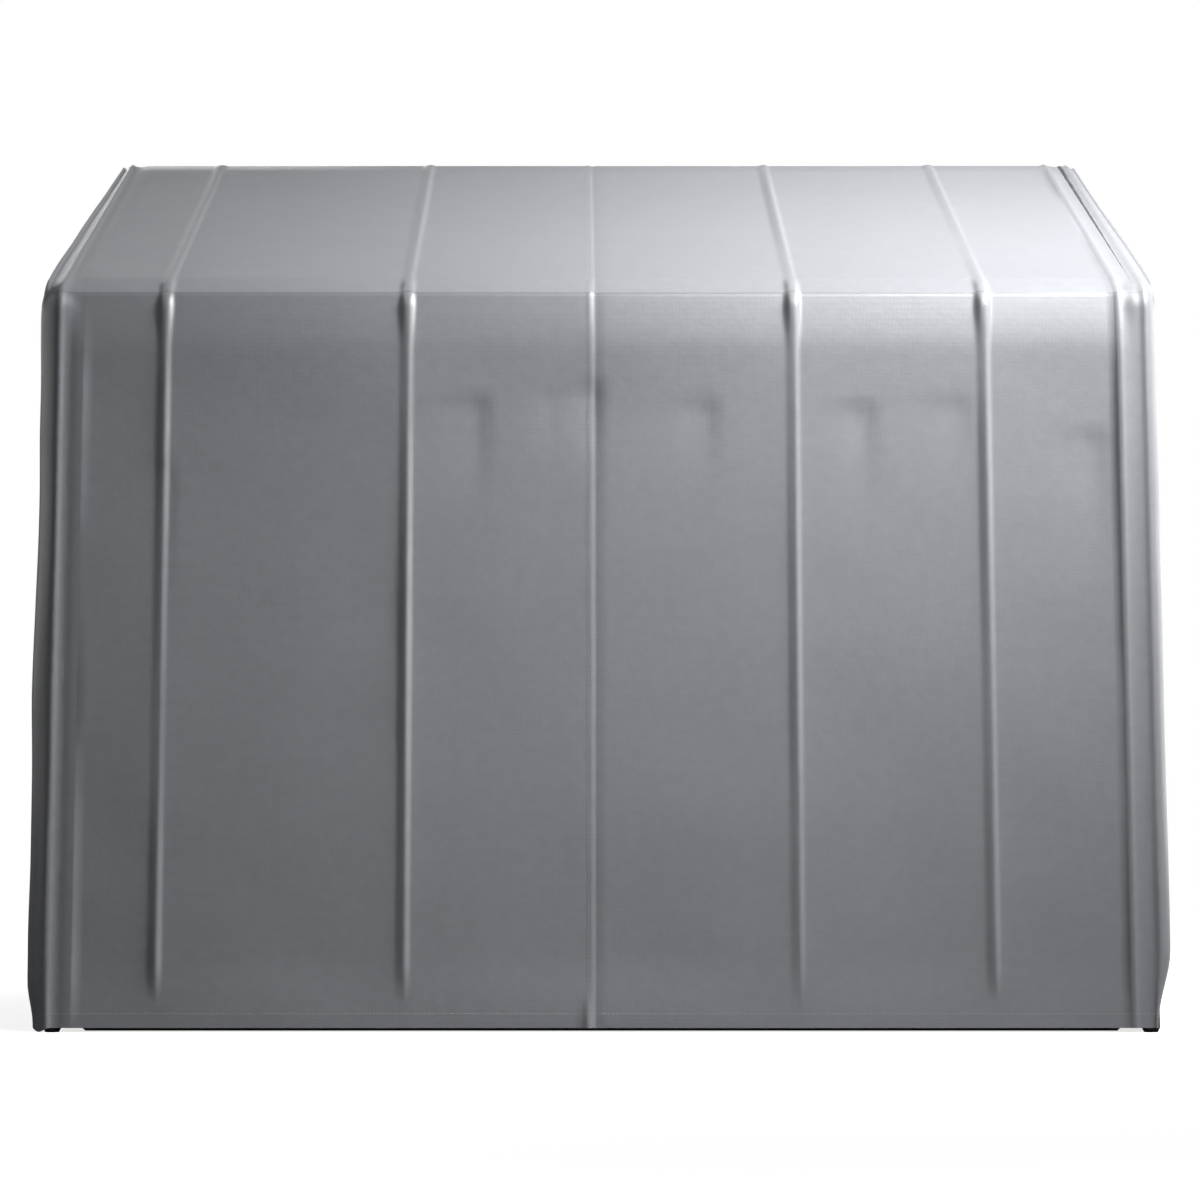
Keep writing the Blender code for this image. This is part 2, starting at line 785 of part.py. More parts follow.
def make_oil_filter():
    profile = [
        (0, 0.085),
        (0.024, 0.085),
        (0.034, 0.074),
        (0.037, 0.014),
        (0.037, 0.0),
        (0, 0.0),
    ]
    turned("oil_filter", profile, (0.085, -CASE_HALF_Y - GAP, 0.190), (0, -1, 0), ORANGE_CAN)


def make_starter():
    y, z = 0.186, 0.200
    motor = rod("starter_motor", (-0.030, y, z), (0.130, y, z), 0.034, BLACK_STEEL, sides=20)
    nose = rod("starter_nose", (0.120, y, z), (0.155, y, z), 0.024, BLACK_STEEL, sides=16)
    solenoid = rod(
        "starter_solenoid",
        (0.010, y + 0.010, z + 0.046),
        (0.095, y + 0.010, z + 0.046),
        0.020,
        BLACK_STEEL,
    )
    flange = block(
        "starter_flange",
        (0.100, CASE_HALF_Y + GAP, z - 0.026),
        (0.112, y, z + 0.026),
        BLACK_STEEL,
    )
    join(motor, nose, solenoid, flange)


# ---------------------------------------------------------------- exhaust
def make_exhaust():
    muffler = turned(
        "muffler",
        [
            (0, MUFFLER_Y[1] - MUFFLER_Y[0]),
            (MUFFLER_R - 0.015, MUFFLER_Y[1] - MUFFLER_Y[0]),
            (MUFFLER_R, MUFFLER_Y[1] - MUFFLER_Y[0] - 0.012),
            (MUFFLER_R, 0.012),
            (MUFFLER_R - 0.015, 0),
            (0, 0),
        ],
        (MUFFLER_X, MUFFLER_Y[0], MUFFLER_Z),
        (0, 1, 0),
        ALUMINISED,
    )
    tailpipe = rod(
        "tailpipe",
        (MUFFLER_X, MUFFLER_Y[1] - 0.01, MUFFLER_Z),
        (MUFFLER_X, TAILPIPE_END_Y, MUFFLER_Z),
        TAILPIPE_R,
        ALUMINISED,
    )
    join(muffler, tailpipe)
    for i, y in enumerate((-0.130, 0.150), start=1):
        leg = block(
            f"muffler_leg_{i}",
            (MUFFLER_X - 0.050, y - 0.015, PAD_H + GAP),
            (MUFFLER_X + 0.050, y + 0.015, MUFFLER_Z - MUFFLER_R * 0.6),
            ALUMINISED,
        )
        join(muffler, leg)

    flange_top = MUFFLER_Z + MUFFLER_R + 0.008
    flange = block(
        "muffler_flange",
        (MUFFLER_X - 0.030, -0.022, MUFFLER_Z),
        (MUFFLER_X + 0.030, 0.022, flange_top),
        ALUMINISED,
    )
    join(muffler, flange)
    wall = 0.003
    chamber = rod(
        "muffler_chamber",
        (MUFFLER_X, MUFFLER_Y[0] + wall, MUFFLER_Z),
        (MUFFLER_X, MUFFLER_Y[1] - wall, MUFFLER_Z),
        MUFFLER_R - 0.015 - wall,
        ALUMINISED,
        sides=24,
    )
    outlet_bore = rod(
        "tailpipe_bore",
        (MUFFLER_X, MUFFLER_Y[1] - 0.02, MUFFLER_Z),
        (MUFFLER_X, TAILPIPE_END_Y + 0.01, MUFFLER_Z),
        TAILPIPE_R - wall,
        ALUMINISED,
    )
    cut(muffler, chamber, outlet_bore)

    # Each pipe leaves its cylinder square to the fins, and the two meet beyond the blower.
    fin_face = FIN_HALF + 2 * GAP
    port_y = (PORT_REACH + fin_face) / math.sqrt(2)
    port_z = CRANK_Z + (PORT_REACH - fin_face) / math.sqrt(2)
    drop = 0.043
    run_y, run_z = port_y + drop, port_z - drop
    meet_x = 0.325
    pipes = []
    for face, sign in (("front", -1), ("rear", 1)):
        corners = [
            (CYLINDER_X[face], sign * port_y, port_z),
            (CYLINDER_X[face], sign * run_y, run_z),
            (meet_x - 0.030, sign * run_y, run_z),
            (meet_x, sign * 0.120, run_z),
            (meet_x, -sign * 0.010, run_z),
        ]
        path = rounded_path(corners, 0.030, steps=3)
        pipes.append(as_mesh(tube(f"header_{face}", path, 0.014, ALUMINISED, fineness=2)))
    down = [
        (meet_x - 0.008, 0, run_z),
        (MUFFLER_X, 0, run_z),
        (MUFFLER_X, 0, flange_top + GAP),
    ]
    outlet = as_mesh(tube("header_outlet", rounded_path(down, 0.030), 0.017, ALUMINISED))
    pipes[0].name = "exhaust_header"
    join(pipes[0], pipes[1], outlet)


# ---------------------------------------------------------------- fuel
def make_fuel_line():
    disc_z, disc_r, disc_y = 0.300, 0.062, 0.175
    regulator = turned(
        "gas_regulator",
        [
            (0, 0.050),
            (0.030, 0.050),
            (0.040, 0.034),
            (disc_r, 0.026),
            (disc_r, 0.010),
            (disc_r - 0.008, 0.0),
            (0, 0.0),
        ],
        (VALVE.x, disc_y, disc_z),
        (0, 1, 0),
        GREY_PAINT,
    )
    pipe_y = disc_y + 0.025
    inlet = as_mesh(
        tube(
            "regulator_inlet",
            rounded_path(
                [
                    (VALVE.x, pipe_y, disc_z - 0.020),
                    (VALVE.x, pipe_y, VALVE.z),
                    (VALVE.x, VALVE.y + 0.110, VALVE.z),
                ],
                0.025,
            ),
            0.011,
            GREY_PAINT,
            fineness=3,
        )
    )
    half_body = Vector((0, 0.022, 0))
    valve_body = rod("valve_body", VALVE - half_body, VALVE + half_body, 0.018, BARE_STEEL, sides=6)
    stem = rod("valve_stem", VALVE, VALVE + Vector((0, 0, 0.026)), 0.006, BARE_STEEL, sides=8)
    outlet = rod(
        "regulator_outlet",
        (VALVE.x, pipe_y, disc_z),
        (VALVE.x, pipe_y, 0.385),
        0.009,
        GREY_PAINT,
        sides=12,
    )
    foot = block(
        "regulator_foot",
        (VALVE.x - 0.030, pipe_y - 0.006, PAD_H + GAP),
        (VALVE.x + 0.030, pipe_y + 0.006, disc_z - 0.030),
        GREY_PAINT,
    )
    join(regulator, foot, inlet, valve_body, stem, outlet)

    lever_z = VALVE.z + 0.026 + GAP
    lever = block(
        "fuel_valve_lever",
        (VALVE.x - 0.009, VALVE.y - 0.010, lever_z),
        (VALVE.x + 0.009, VALVE.y + 0.085, lever_z + 0.005),
        YELLOW_PAINT,
        rounded=0.0015,
    )
    hinge("fuel_valve_turn", (VALVE.x, VALVE.y, lever_z), lever)

    hose = [
        (VALVE.x, pipe_y, 0.385 + GAP),
        (VALVE.x, pipe_y, 0.480),
        (VALVE.x + 0.060, 0.120, 0.510),
        (-0.100, 0.0, HOSE_END_Z),
        (HOSE_END_X - GAP, 0.0, HOSE_END_Z),
    ]
    tube("fuel_hose", rounded_path(hose, 0.035, steps=5), 0.009, RUBBER, fineness=2)


# ---------------------------------------------------------------- electrics
def make_battery():
    low, high = Vector((-0.630, 0.000, PAD_H + GAP)), Vector((-0.430, 0.170, 0.250))
    battery = block("battery", low, high, BLACK_PLASTIC, rounded=0.004)
    for sign, x in (("minus", -0.600), ("plus", -0.460)):
        post = rod(
            f"terminal_{sign}",
            (x, 0.040, high.z - 0.005),
            (x, 0.040, high.z + 0.016),
            0.009,
            BARE_STEEL,
            sides=12,
        )
        join(battery, post)
    cable = [
        (-0.460, 0.040, high.z + 0.016 + GAP),
        (-0.460, 0.040, 0.300),
        (-0.410, 0.160, 0.285),
        (-0.370, 0.160, 0.135),
        (-0.110, 0.162, 0.135),
        (-0.080, 0.186, 0.200),
        (-0.030 - GAP, 0.186, 0.200),
    ]
    tube("battery_cable", rounded_path(cable, 0.025, steps=4), 0.005, RED_PLASTIC, fineness=2)


def make_control_cabinet():
    low, high = CABINET_LOW, CABINET_HIGH
    cabinet = block("control_cabinet", low, high, GREY_PAINT, rounded=0.005)
    wall = 0.015
    recess = block(
        "cabinet_recess",
        (low.x + wall, low.y - 0.01, RECESS_Z[0]),
        (high.x - wall, low.y + RECESS_DEPTH, RECESS_Z[1]),
        GREY_PAINT,
    )
    hub = rod(
        "conduit_hub",
        (low.x + 0.01, (low.y + high.y) / 2, 0.140),
        (low.x - 0.020, (low.y + high.y) / 2, 0.140),
        0.017,
        GREY_PAINT,
        sides=12,
    )
    cut(join(cabinet, hub), recess)
    panel_y = low.y + RECESS_DEPTH
    middle_x = (low.x + high.x) / 2
    buttons = (
        ("manual", -0.050, BLUE_PLASTIC),
        ("off", 0.0, RED_PLASTIC),
        ("auto", 0.050, GREEN_PLASTIC),
    )
    for label, offset, colour in buttons:
        x = middle_x + offset
        well = rod(
            f"button_well_{label}",
            (x, panel_y - 0.005, BUTTON_Z),
            (x, panel_y + 0.010, BUTTON_Z),
            BUTTON_R + 0.0008,
            GREY_PAINT,
        )
        cut(cabinet, well)
        button = rod(
            f"button_{label}",
            (x, panel_y + 0.005, BUTTON_Z),
            (x, panel_y - 0.010, BUTTON_Z),
            BUTTON_R,
            colour,
        )
        hinge(f"button_{label}_press", (x, panel_y, BUTTON_Z), button)
    slot = block(
        "breaker_slot",
        (middle_x - 0.010, panel_y - 0.005, BREAKER_Z - 0.016),
        (middle_x + 0.010, panel_y + 0.016, BREAKER_Z + 0.016),
        GREY_PAINT,
    )
    cut(cabinet, slot)
    pivot_y = panel_y + 0.006
    toggle = block(
        "breaker_toggle",
        (middle_x - 0.008, pivot_y - 0.032, BREAKER_Z - 0.005),
        (middle_x + 0.008, pivot_y + 0.005, BREAKER_Z + 0.005),
        BLACK_PLASTIC,
        rounded=0.0015,
    )
    pivot = Matrix.Translation((middle_x, pivot_y, BREAKER_Z))
    tilt_up = Matrix.Rotation(-BREAKER_TILT, 4, "X")
    bpy.context.view_layer.update()
    toggle.matrix_world = pivot @ tilt_up @ pivot.inverted() @ toggle.matrix_world
    hinge("breaker_throw", pivot.translation, toggle)
    door = block(
        "control_door",
        (low.x, low.y - DOOR_T - GAP, RECESS_Z[0] - 0.012),
        (high.x, low.y - GAP, high.z),
        GREY_PAINT,
        rounded=0.001,
    )
    hinge("control_door_swing", (low.x, low.y - DOOR_T - GAP, RECESS_Z[0]), door)


# ---------------------------------------------------------------- build
def main():
    make_hoops()
    make_feet()
    make_rails()
    make_roof()
    make_front_wall()
    make_rear_wall()
    make_end_walls()
    make_base()
    make_crankcase()
    make_dipstick()
    make_cylinders()
    make_blower_housing()
    rotor = make_alternator()
    hinge("crank_spin", (0, 0, CRANK_Z), make_crankshaft(), make_flywheel_fan(), rotor)
    make_intake()
    make_oil_filter()
    make_starter()
    make_exhaust()
    make_fuel_line()
    make_battery()
    make_control_cabinet()


main()
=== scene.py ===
"""Looks of the home standby generator under its framed weather cover.

The cover's cloth is built here as sheets that follow the hoops: one from the front hem over the
ridge to the rear hem, and one for each end. The machine's own parts keep their CAD shape and get
finished materials and small fittings. Metres, +Z up, -Y is the front.
"""

import json
import math

import bmesh
import bpy
import numpy as np
from mathutils import Matrix, Vector, noise


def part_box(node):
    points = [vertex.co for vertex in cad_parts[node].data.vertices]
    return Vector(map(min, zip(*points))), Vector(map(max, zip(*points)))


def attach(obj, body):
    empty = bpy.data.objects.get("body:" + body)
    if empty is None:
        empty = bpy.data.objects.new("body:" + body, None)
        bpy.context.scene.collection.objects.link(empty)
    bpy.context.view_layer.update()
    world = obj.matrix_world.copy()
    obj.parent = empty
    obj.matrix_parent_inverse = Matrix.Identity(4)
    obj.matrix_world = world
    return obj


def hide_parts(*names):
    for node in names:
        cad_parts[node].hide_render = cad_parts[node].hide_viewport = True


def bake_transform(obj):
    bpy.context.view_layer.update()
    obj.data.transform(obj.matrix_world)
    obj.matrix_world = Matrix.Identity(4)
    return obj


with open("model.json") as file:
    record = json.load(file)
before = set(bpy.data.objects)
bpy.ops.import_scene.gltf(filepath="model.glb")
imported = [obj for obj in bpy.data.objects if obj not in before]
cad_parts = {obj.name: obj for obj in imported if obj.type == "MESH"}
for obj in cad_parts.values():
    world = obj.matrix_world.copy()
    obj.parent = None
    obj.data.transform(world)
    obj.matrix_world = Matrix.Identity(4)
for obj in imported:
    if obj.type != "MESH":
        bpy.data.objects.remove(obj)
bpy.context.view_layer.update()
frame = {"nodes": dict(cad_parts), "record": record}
ROOT = "enclosure_and_set"

# ---------------- measures from the frame
HOOPS = [f"hoop_{i}" for i in range(1, 7)]
HOOP_X = [(low.x + high.x) / 2 for low, high in map(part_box, HOOPS)]
FOLD = next(j for j in frame["record"]["behaviour"]["joints"] if j["name"] == "front_panel_lift")
front_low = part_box("cover_front")[0]

WALL_Y = -front_low.y - 0.0005           # outer face of the cloth, front and rear
HEM_Z = front_low.z
EAVE_Z = FOLD["pos_m"][2] + 0.0045       # where the flat wall and roof would meet
RIDGE_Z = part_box("cover_roof")[1].z - 0.0035
SLOPE = math.atan2(RIDGE_Z - EAVE_Z, WALL_Y)
END_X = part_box("cover_right_end")[1].x   # outer face of the end walls
RIB_BEND_R = 0.0470                      # cloth over a hoop's bend
FOLD_R = 0.004                           # cloth between two hoops
WALL_LENGTH = EAVE_Z - HEM_Z
ROOF_LENGTH = WALL_Y / math.cos(SLOPE)
PROFILE_LENGTH = 2 * (WALL_LENGTH + ROOF_LENGTH)
CORNERS_S = (WALL_LENGTH, WALL_LENGTH + ROOF_LENGTH, WALL_LENGTH + 2 * ROOF_LENGTH)
SEAM_X = -0.014
HEM_STITCH = 0.018                       # from the hem's edge to its row of stitches


def add_object(name, data, material=None):
    """A new object in the scene, with its material where it has one."""
    obj = bpy.data.objects.new(name, data)
    bpy.context.scene.collection.objects.link(obj)
    if material:
        obj.data.materials.append(material)
    return obj


def add_node(tree, kind, inputs, output, **settings):
    """A shader node's output. Its inputs take plain values or the outputs of other nodes."""
    node = tree.nodes.new(f"ShaderNode{kind}")
    for name, value in settings.items():
        setattr(node, name, value)
    for socket, value in inputs.items():
        if isinstance(value, bpy.types.NodeSocket):
            tree.links.new(value, node.inputs[socket])
        else:
            node.inputs[socket].default_value = value
    return node.outputs[output]


# ---------------- camera, light and floor
CAMERA_PLACE = (-0.035, -3.935, 0.210)
CAMERA_TILT = 96.0                       # degrees from straight down
CAMERA_LENS, CAMERA_SHIFT_X = 77.3, 0.021

FLOOR_HALF = 9.0
FLOOR_GLOW_FROM, FLOOR_GLOW_TO = 1.0, 2.6   # from the middle: where the floor turns fully white
FLOOR_GLOW_NEAR = 0.74

# name, place, target, size, watts, spread in degrees
LIGHTS = (
    ("key", (1.60, -1.10, 2.28), (0.3, -0.4, 0.95), (0.8, 0.8), 34, 74),
    ("strip", (1.25, -2.9, 3.1), (0.55, -0.5, 0.95), (1.2, 0.4), 12.5, 55),
    ("rear_fill", (-1.8, 3.4, 2.6), (0.0, 0.5, 0.6), (2.0, 2.0), 55, 180),
    ("inside_fill", (0.0, -0.42, 0.93), (0.0, 0.10, 0.30), (1.25, 0.14), 6, 130),
    ("left_fill", (-2.9, 0.6, 1.4), (-0.75, 0.0, 0.6), (2.0, 2.0), 14, 180),
    ("edge_fill", (2.7, 2.4, 1.3), (0.75, 0.0, 0.6), (2.4, 2.2), 34, 180),
)


def add_camera():
    data = bpy.data.cameras.new("camera")
    data.lens = CAMERA_LENS
    data.shift_x = CAMERA_SHIFT_X
    camera = add_object("camera", data)
    camera.location = CAMERA_PLACE
    camera.rotation_euler = (math.radians(CAMERA_TILT), 0, 0)
    bpy.context.scene.camera = camera


def add_area_light(name, place, target, size, watts, spread):
    data = bpy.data.lights.new(name, "AREA")
    data.shape = "RECTANGLE"
    data.size, data.size_y = size
    data.energy = watts
    data.spread = math.radians(spread)
    light = add_object(name, data)
    light.location = place
    light.rotation_euler = (Vector(target) - Vector(place)).to_track_quat("-Z", "Y").to_euler()


def add_studio():
    """A pale floor before a white surround, the lights, and a lamp inside the cover.

    The surround is white to the camera only, and dim to every other ray.
    """
    world = bpy.data.worlds.new("studio")
    world.use_nodes = True
    tree = world.node_tree
    surround = tree.nodes["Background"]
    surround.inputs["Color"].default_value = (0.94, 0.97, 1.0, 1.0)
    surround.inputs["Strength"].default_value = 0.080
    backdrop = add_node(tree, "Background", {"Color": (1.0, 1.0, 1.0, 1.0)}, "Background")
    seen = add_node(tree, "LightPath", {}, "Is Camera Ray")
    shades = {"Fac": seen, 1: surround.outputs["Background"], 2: backdrop}
    mix = add_node(tree, "MixShader", shades, "Shader")
    tree.links.new(mix, tree.nodes["World Output"].inputs["Surface"])
    bpy.context.scene.world = world
    bpy.context.scene.view_settings.view_transform = "Standard"
    for light in LIGHTS:
        add_area_light(*light)

    mesh = bpy.data.meshes.new("floor")
    corners = [(x * FLOOR_HALF, y * FLOOR_HALF, 0) for x, y in ((-1, -1), (1, -1), (1, 1), (-1, 1))]
    mesh.from_pydata(corners, [], [(0, 1, 2, 3)])
    add_object("floor", mesh, plain_floor())


# ---------------- materials
STITCH = 0.0060                          # length of one stitch with its gap
STITCH_SHARE = 0.72                      # how much of that is thread
THREAD_HALF = 0.0005
# half width of the line of painted shade along a fold
FOLD_SHADE_HALF = 0.0011
WEAVE = 170                              # scale of the weft and warp


class Finish:
    """A Principled material, with short calls for the nodes that feed it."""

    def __init__(self, name, roughness=0.5, metallic=0.0, coords="Object", **sockets):
        self.material = bpy.data.materials.new(name)
        self.material.use_nodes = True
        self.tree = self.material.node_tree
        self.shader = self.tree.nodes["Principled BSDF"]
        self.shader.inputs["Roughness"].default_value = roughness
        self.shader.inputs["Metallic"].default_value = metallic
        for socket, value in sockets.items():
            self.shader.inputs[socket.replace("_", " ")].default_value = value
        self.coords = self.tree.nodes.new("ShaderNodeTexCoord").outputs[coords]

    def node(self, kind, inputs, output, **settings):
        return add_node(self.tree, kind, inputs, output, **settings)

    def noise(self, scale, detail=3.0):
        inputs = {"Scale": scale, "Detail": detail, "Vector": self.coords}
        return self.node("TexNoise", inputs, "Fac")

    def cells(self, scale):
        return self.node("TexVoronoi", {"Scale": scale, "Vector": self.coords}, "Color")

    def wave(self, scale, direction):
        inputs = {"Scale": scale, "Vector": self.coords}
        return self.node("TexWave", inputs, "Fac", bands_direction=direction)

    def ramp(self, value, low, high, start, end):
        """Blends from colour low to colour high as value goes from start to end."""
        node = self.tree.nodes.new("ShaderNodeValToRGB")
        node.color_ramp.elements[0].position = start
        node.color_ramp.elements[1].position = end
        node.color_ramp.elements[0].color = (*low, 1)
        node.color_ramp.elements[1].color = (*high, 1)
        self.tree.links.new(value, node.inputs["Fac"])
        return node.outputs["Color"]

    def scaled(self, value, low, high):
        """Maps a value from 0..1 to low..high."""
        return self.node("MapRange", {"To Min": low, "To Max": high, "Value": value}, "Result")

    def math(self, operation, *values):
        return self.node("Math", dict(enumerate(values)), "Value", operation=operation)

    def near(self, value, place, half):
        """1 where value is within half of place, otherwise 0."""
        return self.math("COMPARE", value, place, half)

    def mixed(self, share, first, second):
        """Blends from the first colour to the second, which is a plain colour."""
        inputs = {"Factor": share, 6: first, 7: (*second, 1)}
        return self.node("Mix", inputs, 2, data_type="RGBA")

    def split(self):
        """The coordinates, one by one."""
        node = self.tree.nodes.new("ShaderNodeSeparateXYZ")
        self.tree.links.new(self.coords, node.inputs["Vector"])
        return node.outputs["X"], node.outputs["Y"], node.outputs["Z"]

    def feed(self, socket, value):
        self.tree.links.new(value, self.shader.inputs[socket])

    def bump(self, height, distance, strength):
        """Adds a bump on top of those already there."""
        inputs = {"Strength": strength, "Distance": distance, "Height": height}
        previous = self.shader.inputs["Normal"]
        if previous.is_linked:
            inputs["Normal"] = previous.links[0].from_socket
        self.tree.links.new(self.node("Bump", inputs, "Normal"), previous)


def plain_floor():
    """Pale paper that glows where the camera sees it, and stays dim to every other ray."""
    finish = Finish("floor_paper", roughness=0.9, Emission_Color=(1, 1, 1, 1))
    colour = finish.ramp(finish.noise(2.0), (0.40, 0.40, 0.40), (0.42, 0.42, 0.42), 0.3, 0.7)
    finish.feed("Base Color", colour)
    away = finish.node("VectorMath", {0: finish.coords}, "Value", operation="LENGTH")
    reach = {"From Min": FLOOR_GLOW_FROM, "From Max": FLOOR_GLOW_TO, "To Min": FLOOR_GLOW_NEAR}
    glow = finish.node("MapRange", {"Value": away, "To Max": 1.0, **reach}, "Result")
    finish.feed("Emission Strength", glow)
    bounce = finish.node("BsdfDiffuse", {"Color": (0.10, 0.10, 0.10, 1.0)}, "BSDF")
    seen = finish.node("LightPath", {}, "Is Camera Ray")
    shades = {"Fac": seen, 1: bounce, 2: finish.shader.outputs["BSDF"]}
    mix = finish.node("MixShader", shades, "Shader")
    finish.tree.links.new(mix, finish.tree.nodes["Material Output"].inputs["Surface"])
    return finish.material


def cover_cloth(name, lines_along=(), lines_across=(), painted_fold_shade=()):
    """Coated polyester: a fine plain weave under a semi-gloss coating. UVs are in metres.

    The rows of stitches run along the cloth at the U places lines_along, and across it at the V
    places lines_across. At the V places of the folds a thin darker line is painted shade, standing for
    the shade in the fold.
    """
    finish = Finish(name, coords="UV", Sheen_Weight=0.10, Sheen_Roughness=0.5)
    u, v, _ = finish.split()
    colour = finish.ramp(
        finish.noise(60.0, detail=6), (0.156, 0.160, 0.170), (0.166, 0.170, 0.180), 0.35, 0.65
    )
    # painted shade: a thin darker line along each fold, standing for the shade that falls in it
    for place in painted_fold_shade:
        colour = finish.mixed(finish.near(v, place, FOLD_SHADE_HALF), colour, (0.115, 0.118, 0.125))
    stitches = None
    for value, along, places in ((u, v, lines_along), (v, u, lines_across)):
        for place in places:
            phase = finish.math("FRACT", finish.math("DIVIDE", along, STITCH), 0)
            line = finish.near(value, place, THREAD_HALF)
            row = finish.math("MULTIPLY", line, finish.math("LESS_THAN", phase, STITCH_SHARE))
            stitches = row if stitches is None else finish.math("MAXIMUM", stitches, row)
    weft, warp = finish.wave(WEAVE, "X"), finish.wave(WEAVE, "Y")
    finish.bump(finish.math("MULTIPLY", weft, warp), 0.00012, 0.5)
    finish.bump(finish.noise(120.0, detail=4), 0.0004, 0.25)
    if stitches is not None:
        colour = finish.mixed(stitches, colour, (0.205, 0.210, 0.220))
        finish.bump(stitches, 0.0004, 0.5)
    finish.feed("Base Color", colour)
    finish.feed("Roughness", finish.scaled(finish.noise(30.0), 0.34, 0.42))
    return finish.material


# ---------------- the cloth's main sheet
def bump_profile(distance, half_width):
    """A smooth hump of height 1 that reaches zero at half_width."""
    t = np.clip(np.abs(distance) / half_width, 0, 1)
    return (1 - t * t) ** 2


def smoothstep(value, low, high):
    t = np.clip((value - low) / (high - low), 0, 1)
    return t * t * (3 - 2 * t)


def rounded_profile(s, radius):
    """Place and outward normal on the cover's section at distance s from the front hem.

    The two eaves and the ridge are rounded to the given radius. Returns y, z, ny, nz.
    """
    eave_turn = math.pi / 2 - SLOPE
    ridge_turn = 2 * SLOPE
    corners = [
        (WALL_LENGTH, -WALL_Y, EAVE_Z, eave_turn),
        (WALL_LENGTH + ROOF_LENGTH, 0.0, RIDGE_Z, ridge_turn),
        (WALL_LENGTH + 2 * ROOF_LENGTH, WALL_Y, EAVE_Z, eave_turn),
    ]
    headings = [math.pi / 2, SLOPE, -SLOPE, -math.pi / 2]
    starts = [(0.0, -WALL_Y, HEM_Z)] + [c[:3] for c in corners]
    index = np.searchsorted([c[0] for c in corners], s)
    heading = np.choose(index, [np.full_like(s, h) for h in headings])
    begin_s = np.choose(index, [np.full_like(s, b[0]) for b in starts])
    y = np.choose(index, [np.full_like(s, b[1]) for b in starts]) + (s - begin_s) * np.cos(heading)
    z = np.choose(index, [np.full_like(s, b[2]) for b in starts]) + (s - begin_s) * np.sin(heading)
    for number, (corner_s, corner_y, corner_z, turn) in enumerate(corners):
        reach = radius * math.tan(turn / 2)
        before = headings[number]
        share = np.clip((s - corner_s + reach) / (2 * reach), 0, 1)
        inside = (share > 0) & (share < 1)
        angle = before - share * turn
        start_y = corner_y - reach * math.cos(before)
        start_z = corner_z - reach * math.sin(before)
        centre_y = start_y + radius * math.sin(before)
        centre_z = start_z - radius * math.cos(before)
        y = np.where(inside, centre_y - radius * np.sin(angle), y)
        z = np.where(inside, centre_z + radius * np.cos(angle), z)
        heading = np.where(inside, angle, heading)
    return y, z, -np.sin(heading), np.cos(heading)


def spaced(stops, steps):
    """Values from stop to stop, with the given step between each pair of stops."""
    values = [stops[0]]
    for low, high, step in zip(stops, stops[1:], steps):
        count = max(1, round((high - low) / step))
        values += [low + (high - low) * (i + 1) / count for i in range(count)]
    return np.array(values)


def across_positions():
    """Positions along X, close together at the ribs and the seam."""
    coarse = 0.011
    stops, steps = [-CORNER_X], []
    for x in sorted([*HOOP_X[1:-1], SEAM_X]):
        half, fine = (0.012, 0.003) if x == SEAM_X else (0.024, 0.0024)
        stops += [x - half, x + half]
        steps += [coarse, fine]
    return spaced([*stops, CORNER_X], [*steps, coarse])


def along_positions():
    """Distances from the front hem, close together at the hems, the eaves and the ridge."""
    near = 0.045
    stops = [0, 0.04]
    for corner_s in CORNERS_S:
        stops += [corner_s - near, corner_s + near]
    stops += [PROFILE_LENGTH - 0.04, PROFILE_LENGTH]
    steps = [0.005, 0.012, 0.004, 0.012, 0.004, 0.012, 0.004, 0.012, 0.005]
    return spaced(stops, steps)


# At each end the cloth leaves the flat wall, crosses the end hoop and turns onto the end wall.
# Each list goes outwards: distance from the middle, and height over the wall's plane. The left
# corner lies tight on its hoop; the right one has a narrow fold before a shallow hollow.
CORNER_X = 0.690
LEFT_CORNER = (
    (CORNER_X, 0.0),
    (0.7020, -0.0004),
    (0.7120, -0.0014),
    (0.7190, -0.0007),
    (0.7255, 0.0017),
    (0.7320, -0.0012),
    (0.7420, -0.0115),
    (0.7505, -0.0240),
    (0.7552, -0.0370),
)
RIGHT_CORNER = (
    (CORNER_X, 0.0),
    (0.6970, 0.0022),
    (0.7035, 0.0000),
    (0.7130, -0.0014),
    (0.7235, -0.0014),
    (0.7315, 0.0006),
    (0.7375, -0.0040),
    (0.7440, -0.0150),
    (0.7490, -0.0270),
    (0.7515, -0.0380),
)
CORNER_END = 0.044                # how far the cloth goes back along the end wall
HEM_DROOP, HEM_DROOP_X = 0.0055, 0.737   # the left front corner hangs lower, round the foot
EXHAUST_HOLE_R = 0.052                   # in the rear wall, under the collar

# Soft dents in the front wall. Each is steep along its right and upper edges and fades away to
# the left and downwards: right edge, upper edge, width, height, depth.
DENTS = (
    (-0.145, 0.848, 0.070, 0.110, 0.0030),
    (-0.050, 0.856, 0.030, 0.070, 0.0018),
    (0.008, 0.868, 0.045, 0.090, 0.0032),
    (0.161, 0.845, 0.052, 0.080, 0.0030),
    (0.371, 0.838, 0.042, 0.090, 0.0034),
    (0.498, 0.846, 0.080, 0.050, 0.0018),
    (0.680, 0.800, 0.050, 0.120, 0.0028),
    (-0.560, 0.760, 0.060, 0.160, 0.0015),
)
DENT_EDGE = 0.020

# The fold at an eave, between hoops, is drawn in towards the machine, and the cloth near it
# follows: reach down the wall, reach up the roof, power of the fading.
EAVE_DRAW = (0.078, 0.045, 1.3)
EAVE_DRAW_LEFT, EAVE_DRAW_RIGHT = 0.0064, 0.0084   # inwards, on either side of the seam
EAVE_DRAW_DOWN = 0.0045
RIDGE_DRAW = 0.0060

# The cloth over an inner hoop: it rises gently from the left and drops sharply on the right. Near
# it the section passes from the rounded bend to the crisp fold.
RIB_LEFT, RIB_RIGHT, RIB_HEIGHT = 0.0138, 0.0072, 0.0025
BEND_LEFT, BEND_RIGHT = 0.0165, 0.0105
SAG = 0.0050                             # of the cloth between two hoops


